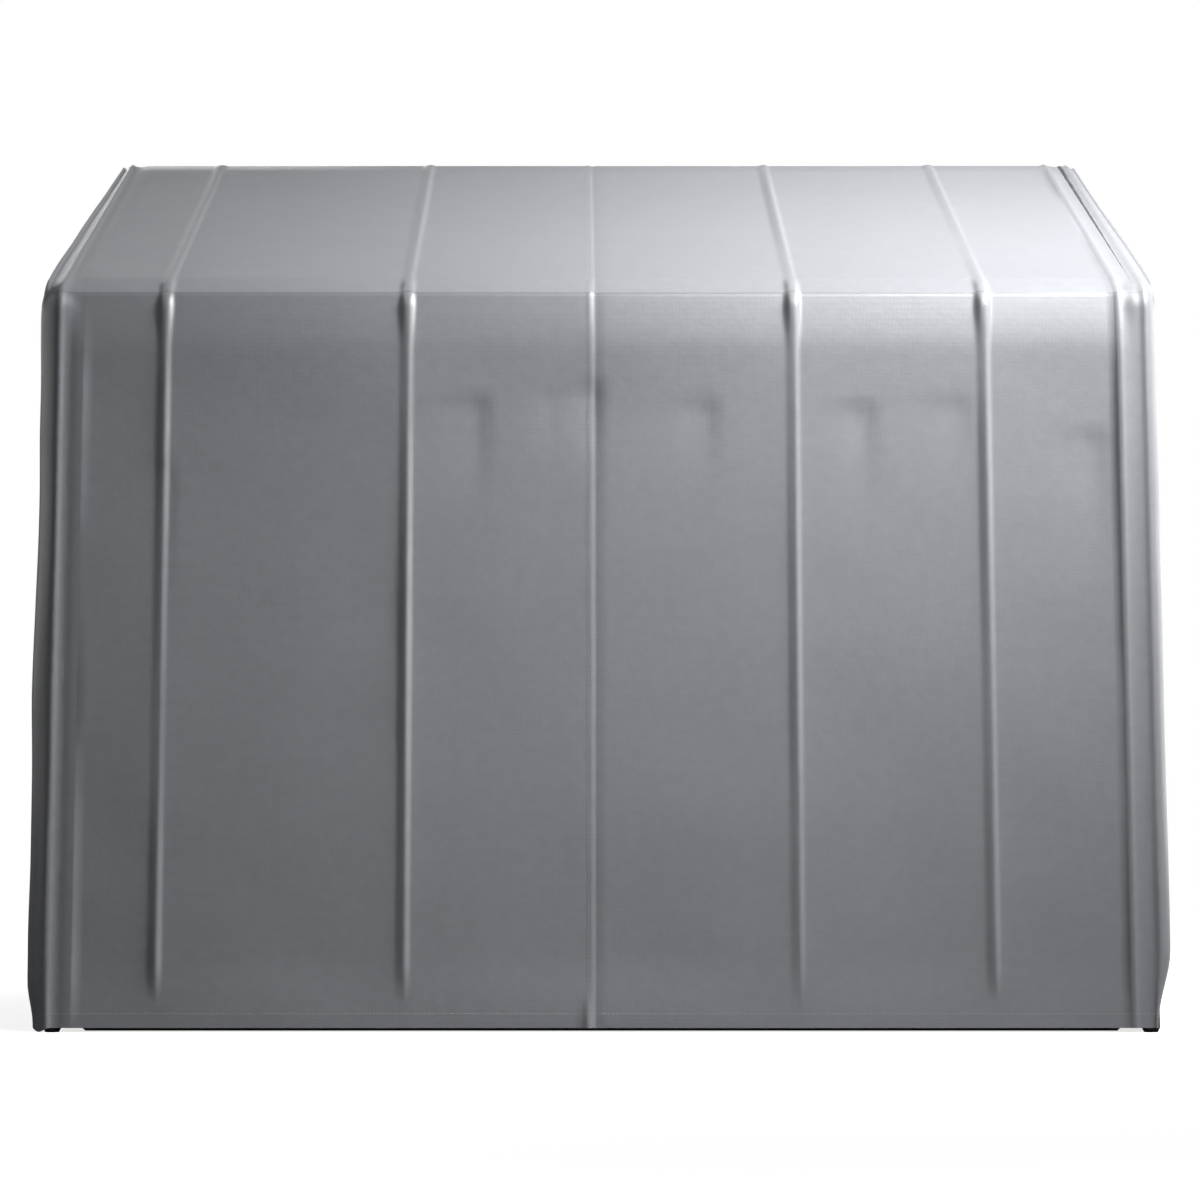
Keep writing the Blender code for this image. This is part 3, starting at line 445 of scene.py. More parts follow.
def on_inner_hoop(x, left, right):
    """A hump over each inner hoop, with the given half widths on its two sides."""
    total = np.zeros_like(x)
    for hoop_x in HOOP_X[1:-1]:
        beside = x - hoop_x
        total = np.maximum(total, bump_profile(beside, np.where(beside < 0, left, right)))
    return total


def from_hem(s):
    """Distance along the cloth from the nearer hem."""
    return np.minimum(s, PROFILE_LENGTH - s)


def rib_shape(x, s):
    """How much of the cloth at x rests on an inner hoop, from 0 to 1."""
    return on_inner_hoop(x, RIB_LEFT, RIB_RIGHT) * smoothstep(from_hem(s), 0.035, 0.085)


def pull_in(x):
    """How far the cloth sags between the two hoops on either side, from 0 to 1."""
    share = np.zeros_like(x)
    for low, high in zip(HOOP_X, HOOP_X[1:]):
        t = (x - low) / (high - low)
        span = min(1.0, (high - low) / 0.5)
        share = np.where((t > 0) & (t < 1), np.sin(math.pi * np.clip(t, 0, 1)) ** 0.6 * span, share)
    return share


def ripples(x, s, scale, seed):
    """Smooth noise over the sheet."""
    flat_x, flat_s = x.ravel(), s.ravel()
    made = [noise.noise(Vector((a * scale, b * scale, seed))) for a, b in zip(flat_x, flat_s)]
    return np.array(made).reshape(x.shape)


def sheet_offset(x, s):
    """Displacement of the cloth along its outward normal."""
    z = HEM_Z + s
    on_front = s < WALL_LENGTH
    from_fold = np.min([np.abs(s - c) for c in CORNERS_S], axis=0)
    slack = smoothstep(from_fold, 0.0, 0.20)
    rib = rib_shape(x, s)
    offset = RIB_HEIGHT * rib * (0.4 + 0.6 * smoothstep(from_fold, 0.0, 0.05))
    offset -= SAG * pull_in(x) * slack * smoothstep(from_hem(s), 0.0, 0.10)
    for right, top, width, height, depth in DENTS:
        left_of, below = right - x, top - z
        across = smoothstep(left_of, 0, DENT_EDGE) * np.exp(-np.square(left_of / width))
        down = smoothstep(below, 0, DENT_EDGE) * np.exp(-np.square(below / height))
        offset -= np.where(on_front, depth * across * down, 0)
    free = (1 - rib) * (0.15 + 0.85 * slack)
    offset += 0.0030 * ripples(x, s, 2.3, 3.0) * free
    offset += 0.0008 * ripples(x, s, 9.0, 7.0) * free
    # the seam: a low ridge, a groove beside it and a pucker at the hem
    offset += 0.0006 * bump_profile(x - SEAM_X, 0.0045)
    offset -= 0.0007 * bump_profile(x - SEAM_X - 0.007, 0.006)
    offset += 0.0030 * bump_profile(x - SEAM_X + 0.004, 0.008) * (1 - smoothstep(s, 0.0, 0.055))
    return offset


def section(x, s):
    """The cover's section at x: rounded over a hoop, and a crisp, drawn-in fold between hoops."""
    on_hoop = smoothstep(on_inner_hoop(x, BEND_LEFT, BEND_RIGHT), 0.0, 0.8)
    on_hoop = np.maximum(on_hoop, smoothstep(np.abs(x), 0.698, HOOP_X[-1]))
    y1, z1, _, _ = rounded_profile(s, RIB_BEND_R)
    y2, z2, _, _ = rounded_profile(s, FOLD_R)
    down_wall, up_roof, power = EAVE_DRAW
    draw_y = np.where(x > SEAM_X, EAVE_DRAW_RIGHT, EAVE_DRAW_LEFT)
    for corner_s, inwards, wall_side in ((CORNERS_S[0], 1, -1), (CORNERS_S[2], -1, 1)):
        signed = (s - corner_s) * wall_side
        fade = np.where(signed > 0, 1 - signed / down_wall, 1 + signed / up_roof)
        fade = np.clip(fade, 0, 1) ** power
        y2 = y2 + inwards * draw_y * fade
        z2 = z2 - EAVE_DRAW_DOWN * fade
    z2 = z2 - RIDGE_DRAW * np.clip(1 - np.abs(s - CORNERS_S[1]) / 0.05, 0, 1) ** power
    return on_hoop * y1 + (1 - on_hoop) * y2, on_hoop * z1 + (1 - on_hoop) * z2


def inner_rows(x, s):
    """The sheet between its two corners: a grid of points."""
    y, z = section(x, s)
    _, _, normal_y, normal_z = rounded_profile(s, RIB_BEND_R)
    offset = sheet_offset(x, s)
    return y + offset * normal_y, z + offset * normal_z


def spline_weights(count, per_span):
    """Weights of a smooth curve through the given number of points, a row for each place on it."""
    rows = []
    for span in range(count - 1):
        for step in range(per_span):
            t = step / per_span
            row = np.zeros(count)
            shares = (
                (-t + 2 * t**2 - t**3) / 2,
                (2 - 5 * t**2 + 3 * t**3) / 2,
                (t + 4 * t**2 - 3 * t**3) / 2,
                (t**3 - t**2) / 2,
            )
            for offset, share in enumerate(shares):
                row[min(max(span - 1 + offset, 0), count - 1)] += share
            rows.append(row)
    rows.append(np.eye(count)[-1])
    return np.array(rows)


def corner_reach(s, side):
    """How far the cloth stands off the end hoop in each row, as a share of its full reach."""
    hem = from_hem(s)
    up_roof = np.clip((hem - WALL_LENGTH) / ROOF_LENGTH, 0, 1)
    at_ridge, at_hem, at_eave = (0.62, 0.86, 1.04) if side < 0 else (0.78, 0.42, 1.00)
    reach = at_eave - (at_eave - at_ridge) * smoothstep(up_roof, 0.10, 1.0)
    on_roof = smoothstep(hem, WALL_LENGTH - 0.004, WALL_LENGTH + 0.02)
    low_down = 1 - smoothstep(hem, 0.0, 0.10 if side > 0 else 0.06)
    at_wall = 1.10 if side < 0 else 1.04
    return reach * on_roof + (at_wall - (at_wall - at_hem) * low_down) * (1 - on_roof)


def gable_lean(z):
    """How far the cloth of an end is drawn in towards the ridge."""
    return 0.0110 * smoothstep(z, EAVE_Z - 0.06, RIDGE_Z)


def corner_path(s, side):
    """Points round a corner as (x, height over the wall's plane) arrays, for each row s."""
    waver = np.array([noise.noise(Vector((side * 5.0, v * 3.1, 0.5))) for v in s])
    fine = np.array([noise.noise(Vector((side * 9.0, v * 9.0, 4.5))) for v in s])
    amount = 1.0 if side < 0 else 0.6
    shift = amount * (0.0034 * waver + 0.0016 * fine)
    low = 1 - smoothstep(from_hem(s), 0.05, 0.60)
    reach = corner_reach(s, side)
    hoop_x = HOOP_X[-1]
    on_roof = smoothstep(from_hem(s), WALL_LENGTH - 0.03, WALL_LENGTH + 0.05)
    stops_x, stops_n = [], []
    for index, (x, n) in enumerate(LEFT_CORNER if side < 0 else RIGHT_CORNER):
        outside = np.clip((x - hoop_x) / 0.03, 0, 1)
        fold = noise.noise(Vector((side * 3.0, index * 1.7, 8.0)))
        folds = np.array([noise.noise(Vector((index * 0.9, v * 5.5, 20.0 + side))) for v in s])
        stops_x.append(np.where(x > hoop_x, hoop_x + (x - hoop_x) * reach, x) + shift * outside)
        flat = 0.80 * on_roof if n > -0.03 else 0.0
        wavering = 0.0050 * amount * outside * low * (folds + 0.4 * fold)
        stops_n.append(n * (1 - flat * outside) + wavering)
    weights = spline_weights(len(stops_x), 4)[1:]
    path = list(zip(weights @ np.array(stops_x), weights @ np.array(stops_n)))
    last_x, last_n = path[-1]
    lean = gable_lean(rounded_profile(s, RIB_BEND_R)[1] - CORNER_END)
    end_x = np.minimum(last_x, END_X + 0.0030 - lean)
    for share in (0.5, 1.0):
        path.append((last_x * (1 - share) + end_x * share, last_n * (1 - share) - CORNER_END * share))
    return path


def make_cover_sheet():
    """The front wall, the roof and the rear wall, turned round the four corners of the frame."""
    s = along_positions()
    x = across_positions()
    grid_x, grid_s = np.meshgrid(x, s)
    y, z = inner_rows(grid_x, grid_s)
    columns = [(grid_x[:, i], y[:, i], z[:, i], grid_x[:, i]) for i in range(len(x))]
    for side, edge in ((-1, 0), (1, -1)):
        _, _, edge_ny, edge_nz = rounded_profile(s, RIB_BEND_R)
        path = corner_path(s, side)
        cloth_x = grid_x[:, edge].copy()
        last = (grid_x[:, edge] * side, np.zeros_like(s))
        added = []
        for px, pn in path:
            base_y, base_z = section(side * px, s)
            cloth_x = cloth_x + side * np.hypot(px - last[0], pn - last[1])
            last = (px, pn)
            added.append((side * px, base_y + pn * edge_ny, base_z + pn * edge_nz, cloth_x))
        columns = added[::-1] + columns if side < 0 else columns + added

    rows, count = len(s), len(columns)
    points = np.stack([np.stack([c[k] for c in columns], axis=1) for k in range(3)], axis=2)
    at_hem = (1 - smoothstep(s, 0.0, 0.05))[:, None]
    points[:, :, 2] -= HEM_DROOP * at_hem * bump_profile(points[:, :, 0] + HEM_DROOP_X, 0.016)
    cloth = np.stack([c[3] for c in columns], axis=1)
    faces = []
    low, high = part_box("exhaust_collar")
    collar = (low + high) / 2
    for r in range(rows - 1):
        for c in range(count - 1):
            x, y, z = (points[r, c] + points[r + 1, c + 1]) / 2
            if y > 0.5 and math.hypot(x - collar.x, z - collar.z) < EXHAUST_HOLE_R:
                continue
            a = r * count + c
            faces.append((a, a + 1, a + count + 1, a + count))
    mesh = bpy.data.meshes.new("cover_sheet")
    mesh.from_pydata(points.reshape(-1, 3).tolist(), [], faces)
    uv = mesh.uv_layers.new(name="cloth")
    flat = np.stack([cloth.ravel(), np.repeat(s, count)], axis=1)
    index = np.zeros(len(mesh.loops), int)
    mesh.loops.foreach_get("vertex_index", index)
    uv.data.foreach_set("uv", flat[index].ravel().astype(np.float32))
    mesh.shade_smooth()
    material = cover_cloth(
        "cover_cloth",
        lines_along=(SEAM_X - 0.0035, SEAM_X + 0.0045),
        lines_across=(HEM_STITCH, PROFILE_LENGTH - HEM_STITCH),
        # painted shade along the two eave folds
        painted_fold_shade=CORNERS_S[::2],
    )
    obj = add_object("cover_sheet", mesh, material)
    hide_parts("cover_front", "cover_roof", "cover_rear")
    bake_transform(obj)


# ---------------- end walls
FLAP_MARGIN = 0.030                      # how far a vent flap overlaps its opening
FLAP_HEM = 0.0125                        # from a flap's edge to its row of stitches
BINDING_W, BINDING_T = 0.018, 0.0016
UNDER_ROOF = 0.034                       # how far an end wall's top lies below the roof


def grid_sheet(name, grid, skip, outwards, material):
    """A sheet through a grid of points, with its cloth coordinates taken from Y and Z.

    Returns the sheet and its area.
    """
    count = len(grid[0])
    faces = []
    for r in range(len(grid) - 1):
        for c in range(count - 1):
            if skip((grid[r][c] + grid[r + 1][c + 1]) / 2):
                continue
            a = r * count + c
            quad = (a, a + 1, a + count + 1, a + count)
            faces.append(quad if outwards > 0 else quad[::-1])
    mesh = bpy.data.meshes.new(name)
    mesh.from_pydata([point for line in grid for point in line], [], faces)
    shape = bmesh.new()
    shape.from_mesh(mesh)
    bmesh.ops.dissolve_degenerate(shape, dist=0.0005, edges=shape.edges)
    loose = [v for v in shape.verts if not v.link_faces]
    bmesh.ops.delete(shape, geom=loose, context="VERTS")
    uv = shape.loops.layers.uv.new("cloth")
    for face in shape.faces:
        for loop in face.loops:
            loop[uv].uv = (loop.vert.co.y, loop.vert.co.z)
    area = sum(face.calc_area() for face in shape.faces)
    shape.to_mesh(mesh)
    shape.free()
    mesh.shade_smooth()
    return add_object(name, mesh, material), area


def soft(y, z, scale, seed):
    return noise.noise(Vector((y * scale, z * scale, seed)))


def make_end_wall(side, node, flap_node):
    """An end wall: it hangs a little slack, is tucked in at the ridge and has a bound vent opening."""
    low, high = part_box(node)
    flap_low, flap_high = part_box(flap_node)
    face_x = side * (max(abs(low.x), abs(high.x)) + 0.0014)
    hole_y = flap_high.y - FLAP_MARGIN
    hole_low, hole_high = flap_low.z + FLAP_MARGIN, flap_high.z - FLAP_MARGIN
    half_y = WALL_Y - 0.027
    columns = spaced(
        [-half_y, -0.45, -hole_y, hole_y, 0.45, half_y], [0.009, 0.0145, 0.02, 0.0145, 0.009]
    )
    gable_z = EAVE_Z - 0.03
    rows = spaced(
        [HEM_Z, HEM_Z + 0.04, hole_low, hole_high, gable_z - 0.01, gable_z],
        [0.006, 0.014, 0.014, 0.014, 0.003],
    )
    seed = 11.0 if side < 0 else 17.0

    def place(y, z):
        front = smoothstep(-y, 0.38, half_y)
        low_down = 1 - smoothstep(z, HEM_Z, 0.11)
        edge = min(1.0, (half_y - abs(y)) / 0.08) * min(1.0, (z - HEM_Z) / 0.08 + 0.3)
        slack = edge * (0.0028 * soft(y, z, 2.4, seed) + 0.0012 * soft(y, z, 7.0, seed + 3))
        hanging = 0.0040 * soft(y * 2.2, z * 0.35, 2.6, seed + 5) * (1 - smoothstep(z, 0.10, 0.60))
        sag = 0.0008 * math.cos(math.pi * y / (2 * half_y))
        from_flap = max(abs(y) - flap_high.y, z - flap_high.z, flap_low.z - z)
        loose = 0.06 + 0.94 * smoothstep(from_flap, 0.0, 0.12)
        seam = 0.0012 * bump_profile(z - gable_z, 0.006)
        lean = gable_lean(z) - seam
        corner = (0.0085 if side < 0 else -0.0150) * front * low_down
        rise = 0.006 * front * low_down if side < 0 else 0.0
        tuck = 0.0070 * smoothstep(abs(y), 0.470, half_y)
        out = loose * (slack + edge * hanging - sag) - lean - tuck + corner
        return Vector((face_x + side * out, y, z + rise))

    grid = [[place(y, z) for y in columns] for z in rows]
    for share in spaced([0, 1], [0.045])[1:]:
        line = []
        for y in columns:
            peak = max(RIDGE_Z - abs(y) * math.tan(SLOPE) - UNDER_ROOF, gable_z)
            line.append(place(y, gable_z + (peak - gable_z) * share))
        grid.append(line)

    def in_hole(point):
        return abs(point.y) < hole_y and hole_low < point.z < hole_high

    stitches = (HEM_Z + HEM_STITCH, gable_z - 0.003, gable_z + 0.003)
    material = cover_cloth(f"{node}_cloth", lines_across=stitches)
    obj, area = grid_sheet(f"{node}_sheet", grid, in_hole, side, material)
    name = f"{node}_vent_binding"
    binding = make_binding(name, face_x - side * 0.001, hole_y, hole_low, hole_high, side)
    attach(binding, ROOT)
    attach(obj, ROOT)
    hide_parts(node)
    return obj


def make_binding(name, x, half_y, low_z, high_z, side):
    """A flat tape sewn round an opening, with rounded corners."""
    corner_r = 0.012
    path = []
    middle_z, half_z = (low_z + high_z) / 2, (high_z - low_z) / 2
    for turn, (sy, sz) in enumerate(((1, 1), (-1, 1), (-1, -1), (1, -1))):
        for step in range(5):
            angle = math.radians(90 * turn + 90 * step / 4)
            path.append((sy * (half_y - corner_r), middle_z + sz * (half_z - corner_r), angle))
    shape = bmesh.new()
    rings = []
    section = ((-0.25, 0.0), (-0.25, 1.0), (0.9, 1.0), (1.0, 0.0), (0.9, -1.0), (-0.25, -1.0))
    for y, z, angle in path:
        ring = []
        for out, up in section:
            reach = corner_r + out * BINDING_W
            ring_y, ring_z = y + reach * math.cos(angle), z + reach * math.sin(angle)
            ring.append(shape.verts.new((x + side * up * BINDING_T, ring_y, ring_z)))
        rings.append(ring)
    for ring, following in zip(rings, rings[1:] + rings[:1]):
        for i in range(len(section)):
            j = (i + 1) % len(section)
            shape.faces.new((ring[i], ring[j], following[j], following[i]))
    bmesh.ops.recalc_face_normals(shape, faces=shape.faces)
    mesh = bpy.data.meshes.new(name)
    shape.to_mesh(mesh)
    shape.free()
    return add_object(name, mesh, BINDING)


def make_vent_flap(side, node):
    """A flap hung over a vent opening, with a sewn hem on its three free edges."""
    low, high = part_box(node)
    outer_x = max(abs(low.x), abs(high.x))
    columns = spaced([low.y, low.y + 0.02, high.y - 0.02, high.y], [0.0035, 0.014, 0.0035])
    rows = spaced([low.z, low.z + 0.02, high.z - 0.012, high.z], [0.0035, 0.014, 0.004])
    seed = 31.0 if side < 0 else 37.0

    def place(y, z):
        from_edge = min(y - low.y, high.y - y, z - low.z)
        hem = 0.0012 * (1 - smoothstep(from_edge, FLAP_HEM, FLAP_HEM + 0.003))
        across = math.sin(math.pi * (y - low.y) / (high.y - low.y))
        inside = across * smoothstep(high.z - z, 0.0, 0.06)
        puff = 0.0022 * inside * (1 + 0.7 * soft(y, z, 6.0, seed))
        curl = 0.0018 * (1 - smoothstep(z, low.z, low.z + 0.05)) * soft(y, 0, 9.0, seed)
        return Vector((side * (outer_x + 0.0026 + hem + puff + curl), y, z))

    grid = [[place(y, z) for y in columns] for z in rows]
    material = cover_cloth(
        f"{node}_cloth",
        lines_along=(low.y + FLAP_HEM, high.y - FLAP_HEM),
        lines_across=(low.z + FLAP_HEM, high.z - 0.010),
    )
    obj, area = grid_sheet(f"{node}_sheet", grid, lambda point: False, side, material)
    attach(obj, node)
    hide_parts(node)


# ---------------- finishes for the CAD parts
def metal(name, dark, light, roughness, metallic=1.0, grain=60.0, bump=0.0002, **sockets):
    """Metal or paint with mottled colour, uneven gloss and a fine grain."""
    finish = Finish(name, metallic=metallic, **sockets)
    finish.feed("Base Color", finish.ramp(finish.noise(grain * 0.3, detail=6), dark, light, 0.3, 0.7))
    finish.feed("Roughness", finish.scaled(finish.noise(grain * 0.15, detail=5), *roughness))
    finish.bump(finish.noise(grain * 14, detail=3), bump, 0.4)
    return finish.material


def galvanised():
    """Zinc spangle: flat crystals of slightly different brightness."""
    finish = Finish("galvanised_tube_finish", metallic=1.0)
    flakes = finish.cells(95.0)
    finish.feed("Base Color", finish.ramp(flakes, (0.44, 0.45, 0.47), (0.66, 0.67, 0.69), 0.1, 0.9))
    finish.feed("Roughness", finish.scaled(finish.noise(40.0), 0.30, 0.50))
    finish.bump(finish.noise(600.0), 0.0001, 0.3)
    return finish.material


PAINT = {"metallic": 0.0}

# dark colour, light colour, lowest and highest roughness, and what differs from plain metal
FINISHES = {
    "rubber": ((0.018,) * 3, (0.030,) * 3, (0.62, 0.82), PAINT),
    "composite_pad": ((0.19, 0.19, 0.18), (0.27, 0.27, 0.26), (0.75, 0.92), PAINT | {"bump": 0.001}),
    "cast_alloy": ((0.42, 0.42, 0.42), (0.62, 0.62, 0.61), (0.38, 0.60), {"bump": 0.0006}),
    "black_steel": ((0.020,) * 3, (0.034,) * 3, (0.34, 0.50), {"metallic": 0.2}),
    "bare_steel": ((0.42, 0.41, 0.40), (0.60, 0.59, 0.57), (0.22, 0.38), {}),
    "aluminised_steel": ((0.30, 0.27, 0.23), (0.52, 0.50, 0.47), (0.42, 0.62), {"bump": 0.0004}),
    "grey_paint": ((0.33, 0.34, 0.35), (0.40, 0.41, 0.42), (0.38, 0.50), PAINT | {"bump": 0.0003}),
    "black_plastic": ((0.020,) * 3, (0.032,) * 3, (0.42, 0.58), PAINT),
    "winding": ((0.22, 0.10, 0.05), (0.55, 0.28, 0.14), (0.35, 0.55), {"metallic": 0.7}),
    "yellow_handle": ((0.66, 0.42, 0.02), (0.78, 0.54, 0.04), (0.3, 0.45), PAINT),
    "red_plastic": ((0.45, 0.02, 0.02), (0.58, 0.04, 0.03), (0.3, 0.42), PAINT),
    "green_plastic": ((0.02, 0.26, 0.06), (0.04, 0.36, 0.09), (0.3, 0.42), PAINT),
    "blue_plastic": ((0.03, 0.10, 0.34), (0.05, 0.15, 0.46), (0.3, 0.42), PAINT),
    "filter_can": ((0.45, 0.14, 0.02), (0.58, 0.20, 0.03), (0.28, 0.42), {"metallic": 0.1}),
}


def finish_cad_parts():
    """Gives every CAD part its slot's finish. Returns the finishes by slot."""
    slots = {entry["node"]: entry["material_slot"] for entry in frame["record"]["subparts"]}
    made = {"galvanised_tube": galvanised()}
    for slot, (dark, light, roughness, options) in FINISHES.items():
        made[slot] = metal(f"{slot}_finish", dark, light, roughness, **options)
    made["cover_fabric"] = CLOTH
    for name, obj in frame["nodes"].items():
        obj.data.materials.clear()
        obj.data.materials.append(made[slots[name]])
    return made


# ---------------- small fittings on the machine
UP = Vector((0, 0, 1))
TO_FRONT, TO_REAR = Vector((0, -1, 0)), Vector((0, 1, 0))
TO_LEFT, TO_RIGHT = Vector((-1, 0, 0)), Vector((1, 0, 0))


class Fitting:
    """Small parts of one material, gathered into one mesh that rides on one body."""

    def __init__(self, name, slot, body=ROOT):
        self.name, self.slot, self.body = name, slot, body
        self.shape = bmesh.new()

    def turned(self, place, axis, profile, sides=20, closed=False):
        """Turn (radius, height) pairs about an axis; a closed profile gives a ring."""
        turn = Matrix.Translation(Vector(place)) @ axis.to_track_quat("Z", "Y").to_matrix().to_4x4()
        rings = []
        for radius, height in profile:
            ring = []
            for i in range(sides):
                angle = 2 * math.pi * (i + 0.5) / sides
                spot = Vector((radius * math.cos(angle), radius * math.sin(angle), height))
                ring.append(self.shape.verts.new(turn @ spot))
            rings.append(ring)
        following = rings[1:] + rings[:1] if closed else rings[1:]
        for ring, after in zip(rings, following):
            for i in range(sides):
                j = (i + 1) % sides
                self.shape.faces.new((ring[i], ring[j], after[j], after[i]))
        if not closed:
            self.shape.faces.new(rings[0][::-1])
            self.shape.faces.new(rings[-1])

    def bolt(self, place, axis, size):
        """A flanged hexagon bolt head; size is the radius of its flange."""
        self.turned(place, axis, [(size, 0), (size, size * 0.14), (size * 0.84, size * 0.26)])
        head = [(size * 0.72, size * 0.18), (size * 0.72, size * 0.78), (size * 0.60, size * 0.90)]
        self.turned(place, axis, head, sides=6)

    def screw(self, place, axis, size):
        """A low, rounded screw or rivet head."""
        self.turned(place, axis, [(size, 0), (size * 0.92, size * 0.3), (size * 0.55, size * 0.55)])

    def band(self, place, axis, inner, outer, width, sides=48):
        """A ring with rounded edges, centred on its place."""
        half, edge = width / 2, min(width, outer - inner) * 0.3
        profile = [
            (inner, -half),
            (outer - edge, -half),
            (outer, edge - half),
            (outer, half - edge),
            (outer - edge, half),
            (inner, half),
        ]
        self.turned(place, axis, profile, sides=sides, closed=True)

    def plate(self, low, high, rounded):
        """A block with rounded edges."""
        low, high = Vector(low), Vector(high)
        scale = Matrix.Diagonal((*(high - low), 1))
        place = Matrix.Translation((low + high) / 2) @ scale
        made = bmesh.ops.create_cube(self.shape, size=1.0, matrix=place)
        edges = dict.fromkeys(edge for vert in made["verts"] for edge in vert.link_edges)
        bmesh.ops.bevel(self.shape, geom=list(edges), offset=rounded, segments=2, affect="EDGES")

    def finish(self, materials):
        """Makes the mesh and puts it on its body."""
        bmesh.ops.recalc_face_normals(self.shape, faces=self.shape.faces)
        mesh = bpy.data.meshes.new(self.name)
        self.shape.to_mesh(mesh)
        self.shape.free()
        mesh.shade_smooth()
        mesh.set_sharp_from_angle(angle=math.radians(38))
        obj = add_object(self.name, mesh, materials[self.slot])
        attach(obj, self.body)


def round_the(axis_place, radius, count, start=0.0):
    """Places spaced evenly round an axis along X, with the direction outwards from it."""
    for i in range(count):
        angle = start + 2 * math.pi * i / count
        outwards = Vector((0, math.sin(angle), math.cos(angle)))
        yield Vector(axis_place) + radius * outwards, outwards


ROCKER_TOP = 0.3095                      # from the crankshaft to the top of a rocker cover
MUFFLER_Z = 0.240
MUFFLER_SEAMS = (0.014, 0.406)           # from the muffler's front end
MUFFLER_STRAPS = (-0.130, 0.150)
BATTERY_TOP = 0.250
REGULATOR_FACE = (0.2010, 0.300)         # y and z of the diaphragm's cover
PANEL_RECESS = 0.050                     # from the cabinet's front to its panel


def fit_engine(materials):
    """Guard, bolts, side cover, clips and bands of the engine and the alternator."""
    low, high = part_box("blower_housing")
    crank = Vector((high.x, 0, (low.z + high.z) / 2))
    guard = Fitting("blower_guard", "black_steel")
    guard_x = high.x + 0.0022
    for radius in (0.030, 0.052, 0.074, 0.096, 0.110):
        guard.band((guard_x, 0, crank.z), TO_RIGHT, radius - 0.0016, radius + 0.0016, 0.0032)
    for _, outwards in round_the(crank, 0, 6, 0.3):
        start = Vector((guard_x + 0.0024, 0, crank.z)) + 0.028 * outwards
        guard.turned(start, outwards, [(0.0016, 0), (0.0016, 0.088)], sides=8)
    hub = [(0.0315, 0), (0.0315, 0.0024), (0.029, 0.0034)]
    guard.turned((guard_x - 0.0012, 0, crank.z), TO_RIGHT, hub, 36)
    guard.finish(materials)

    bolts = Fitting("engine_bolts", "bare_steel")
    for spot, _ in round_the(crank, 0.140, 6, 0.3):
        bolts.bolt(spot, TO_RIGHT, 0.0075)
    for spot, _ in round_the(crank, 0.118, 4, math.pi / 4):
        bolts.bolt((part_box("alternator_stator")[0].x - 0.0165, spot.y, spot.z), TO_LEFT, 0.0070)
    case_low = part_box("crankcase")[0]
    for side, cover in ((-1, "rocker_cover_front"), (1, "rocker_cover_rear")):
        cover_low, cover_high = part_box(cover)
        lift = Vector((0, side, 1)).normalized()
        across = Vector((0, 1, -side)).normalized()
        top = Vector(((cover_low.x + cover_high.x) / 2, 0, crank.z)) + lift * ROCKER_TOP
        for x in (-0.036, 0.036):
            for along in (-0.033, 0.033):
                bolts.bolt(top + Vector((x, 0, 0)) + along * across, lift, 0.0058)
    plate_low = Vector((case_low.x + 0.018, case_low.y - 0.0030, case_low.z + 0.035))
    plate_high = Vector((case_low.x + 0.132, case_low.y, case_low.z + 0.215))
    for x in (plate_low.x + 0.011, plate_high.x - 0.011):
        for share in (0.065, 0.5, 0.935):
            z = plate_low.z * (1 - share) + plate_high.z * share
            bolts.bolt((x, plate_low.y, z), TO_FRONT, 0.0065)
    disc_low, disc_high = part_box("gas_regulator")
    disc = Vector(((disc_low.x + disc_high.x) / 2, *REGULATOR_FACE))
    for i in range(6):
        angle = math.pi * (i + 0.5) / 3
        spot = disc + 0.0535 * Vector((math.cos(angle), 0, math.sin(angle)))
        bolts.bolt(spot, TO_REAR, 0.0050)
    bolts.finish(materials)

    cover = Fitting("crankcase_side_cover", "cast_alloy")
    cover.plate(plate_low, plate_high, 0.0012)
    y, low_z, high_z = plate_low.y, plate_low.z + 0.030, plate_high.z - 0.030
    for x in (-0.020, 0.0, 0.020):
        middle = (plate_low.x + plate_high.x) / 2 + x
        cover.plate((middle - 0.002, y - 0.003, low_z), (middle + 0.002, y, high_z), 0.0011)
    cover.finish(materials)

    clips = Fitting("air_cleaner_clips", "bare_steel")
    box_low, box_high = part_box("air_cleaner_cover")
    middle_x, split = (box_low.x + box_high.x) / 2, box_low.z
    for y, outwards in ((box_low.y, -1), (box_high.y, 1)):
        for x in (-0.045, 0.045):
            inner, outer = sorted((y, y + outwards * 0.0016))
            clip_x = middle_x + x
            low, high = (clip_x - 0.008, inner, split - 0.014), (clip_x + 0.008, outer, split + 0.020)
            clips.plate(low, high, 0.0007)
            wire = (clip_x - 0.011, y + outwards * 0.0024, split + 0.018)
            clips.turned(wire, TO_RIGHT, [(0.0018, 0), (0.0018, 0.022)], sides=10)
    clips.finish(materials)

    bands = Fitting("alternator_bands", "grey_paint")
    stator_low, stator_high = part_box("alternator_stator")
    for x in (stator_low.x + 0.009, stator_high.x - 0.009):
        bands.band((x, 0, crank.z), TO_RIGHT, 0.1285, 0.1335, 0.014)
    bands.finish(materials)


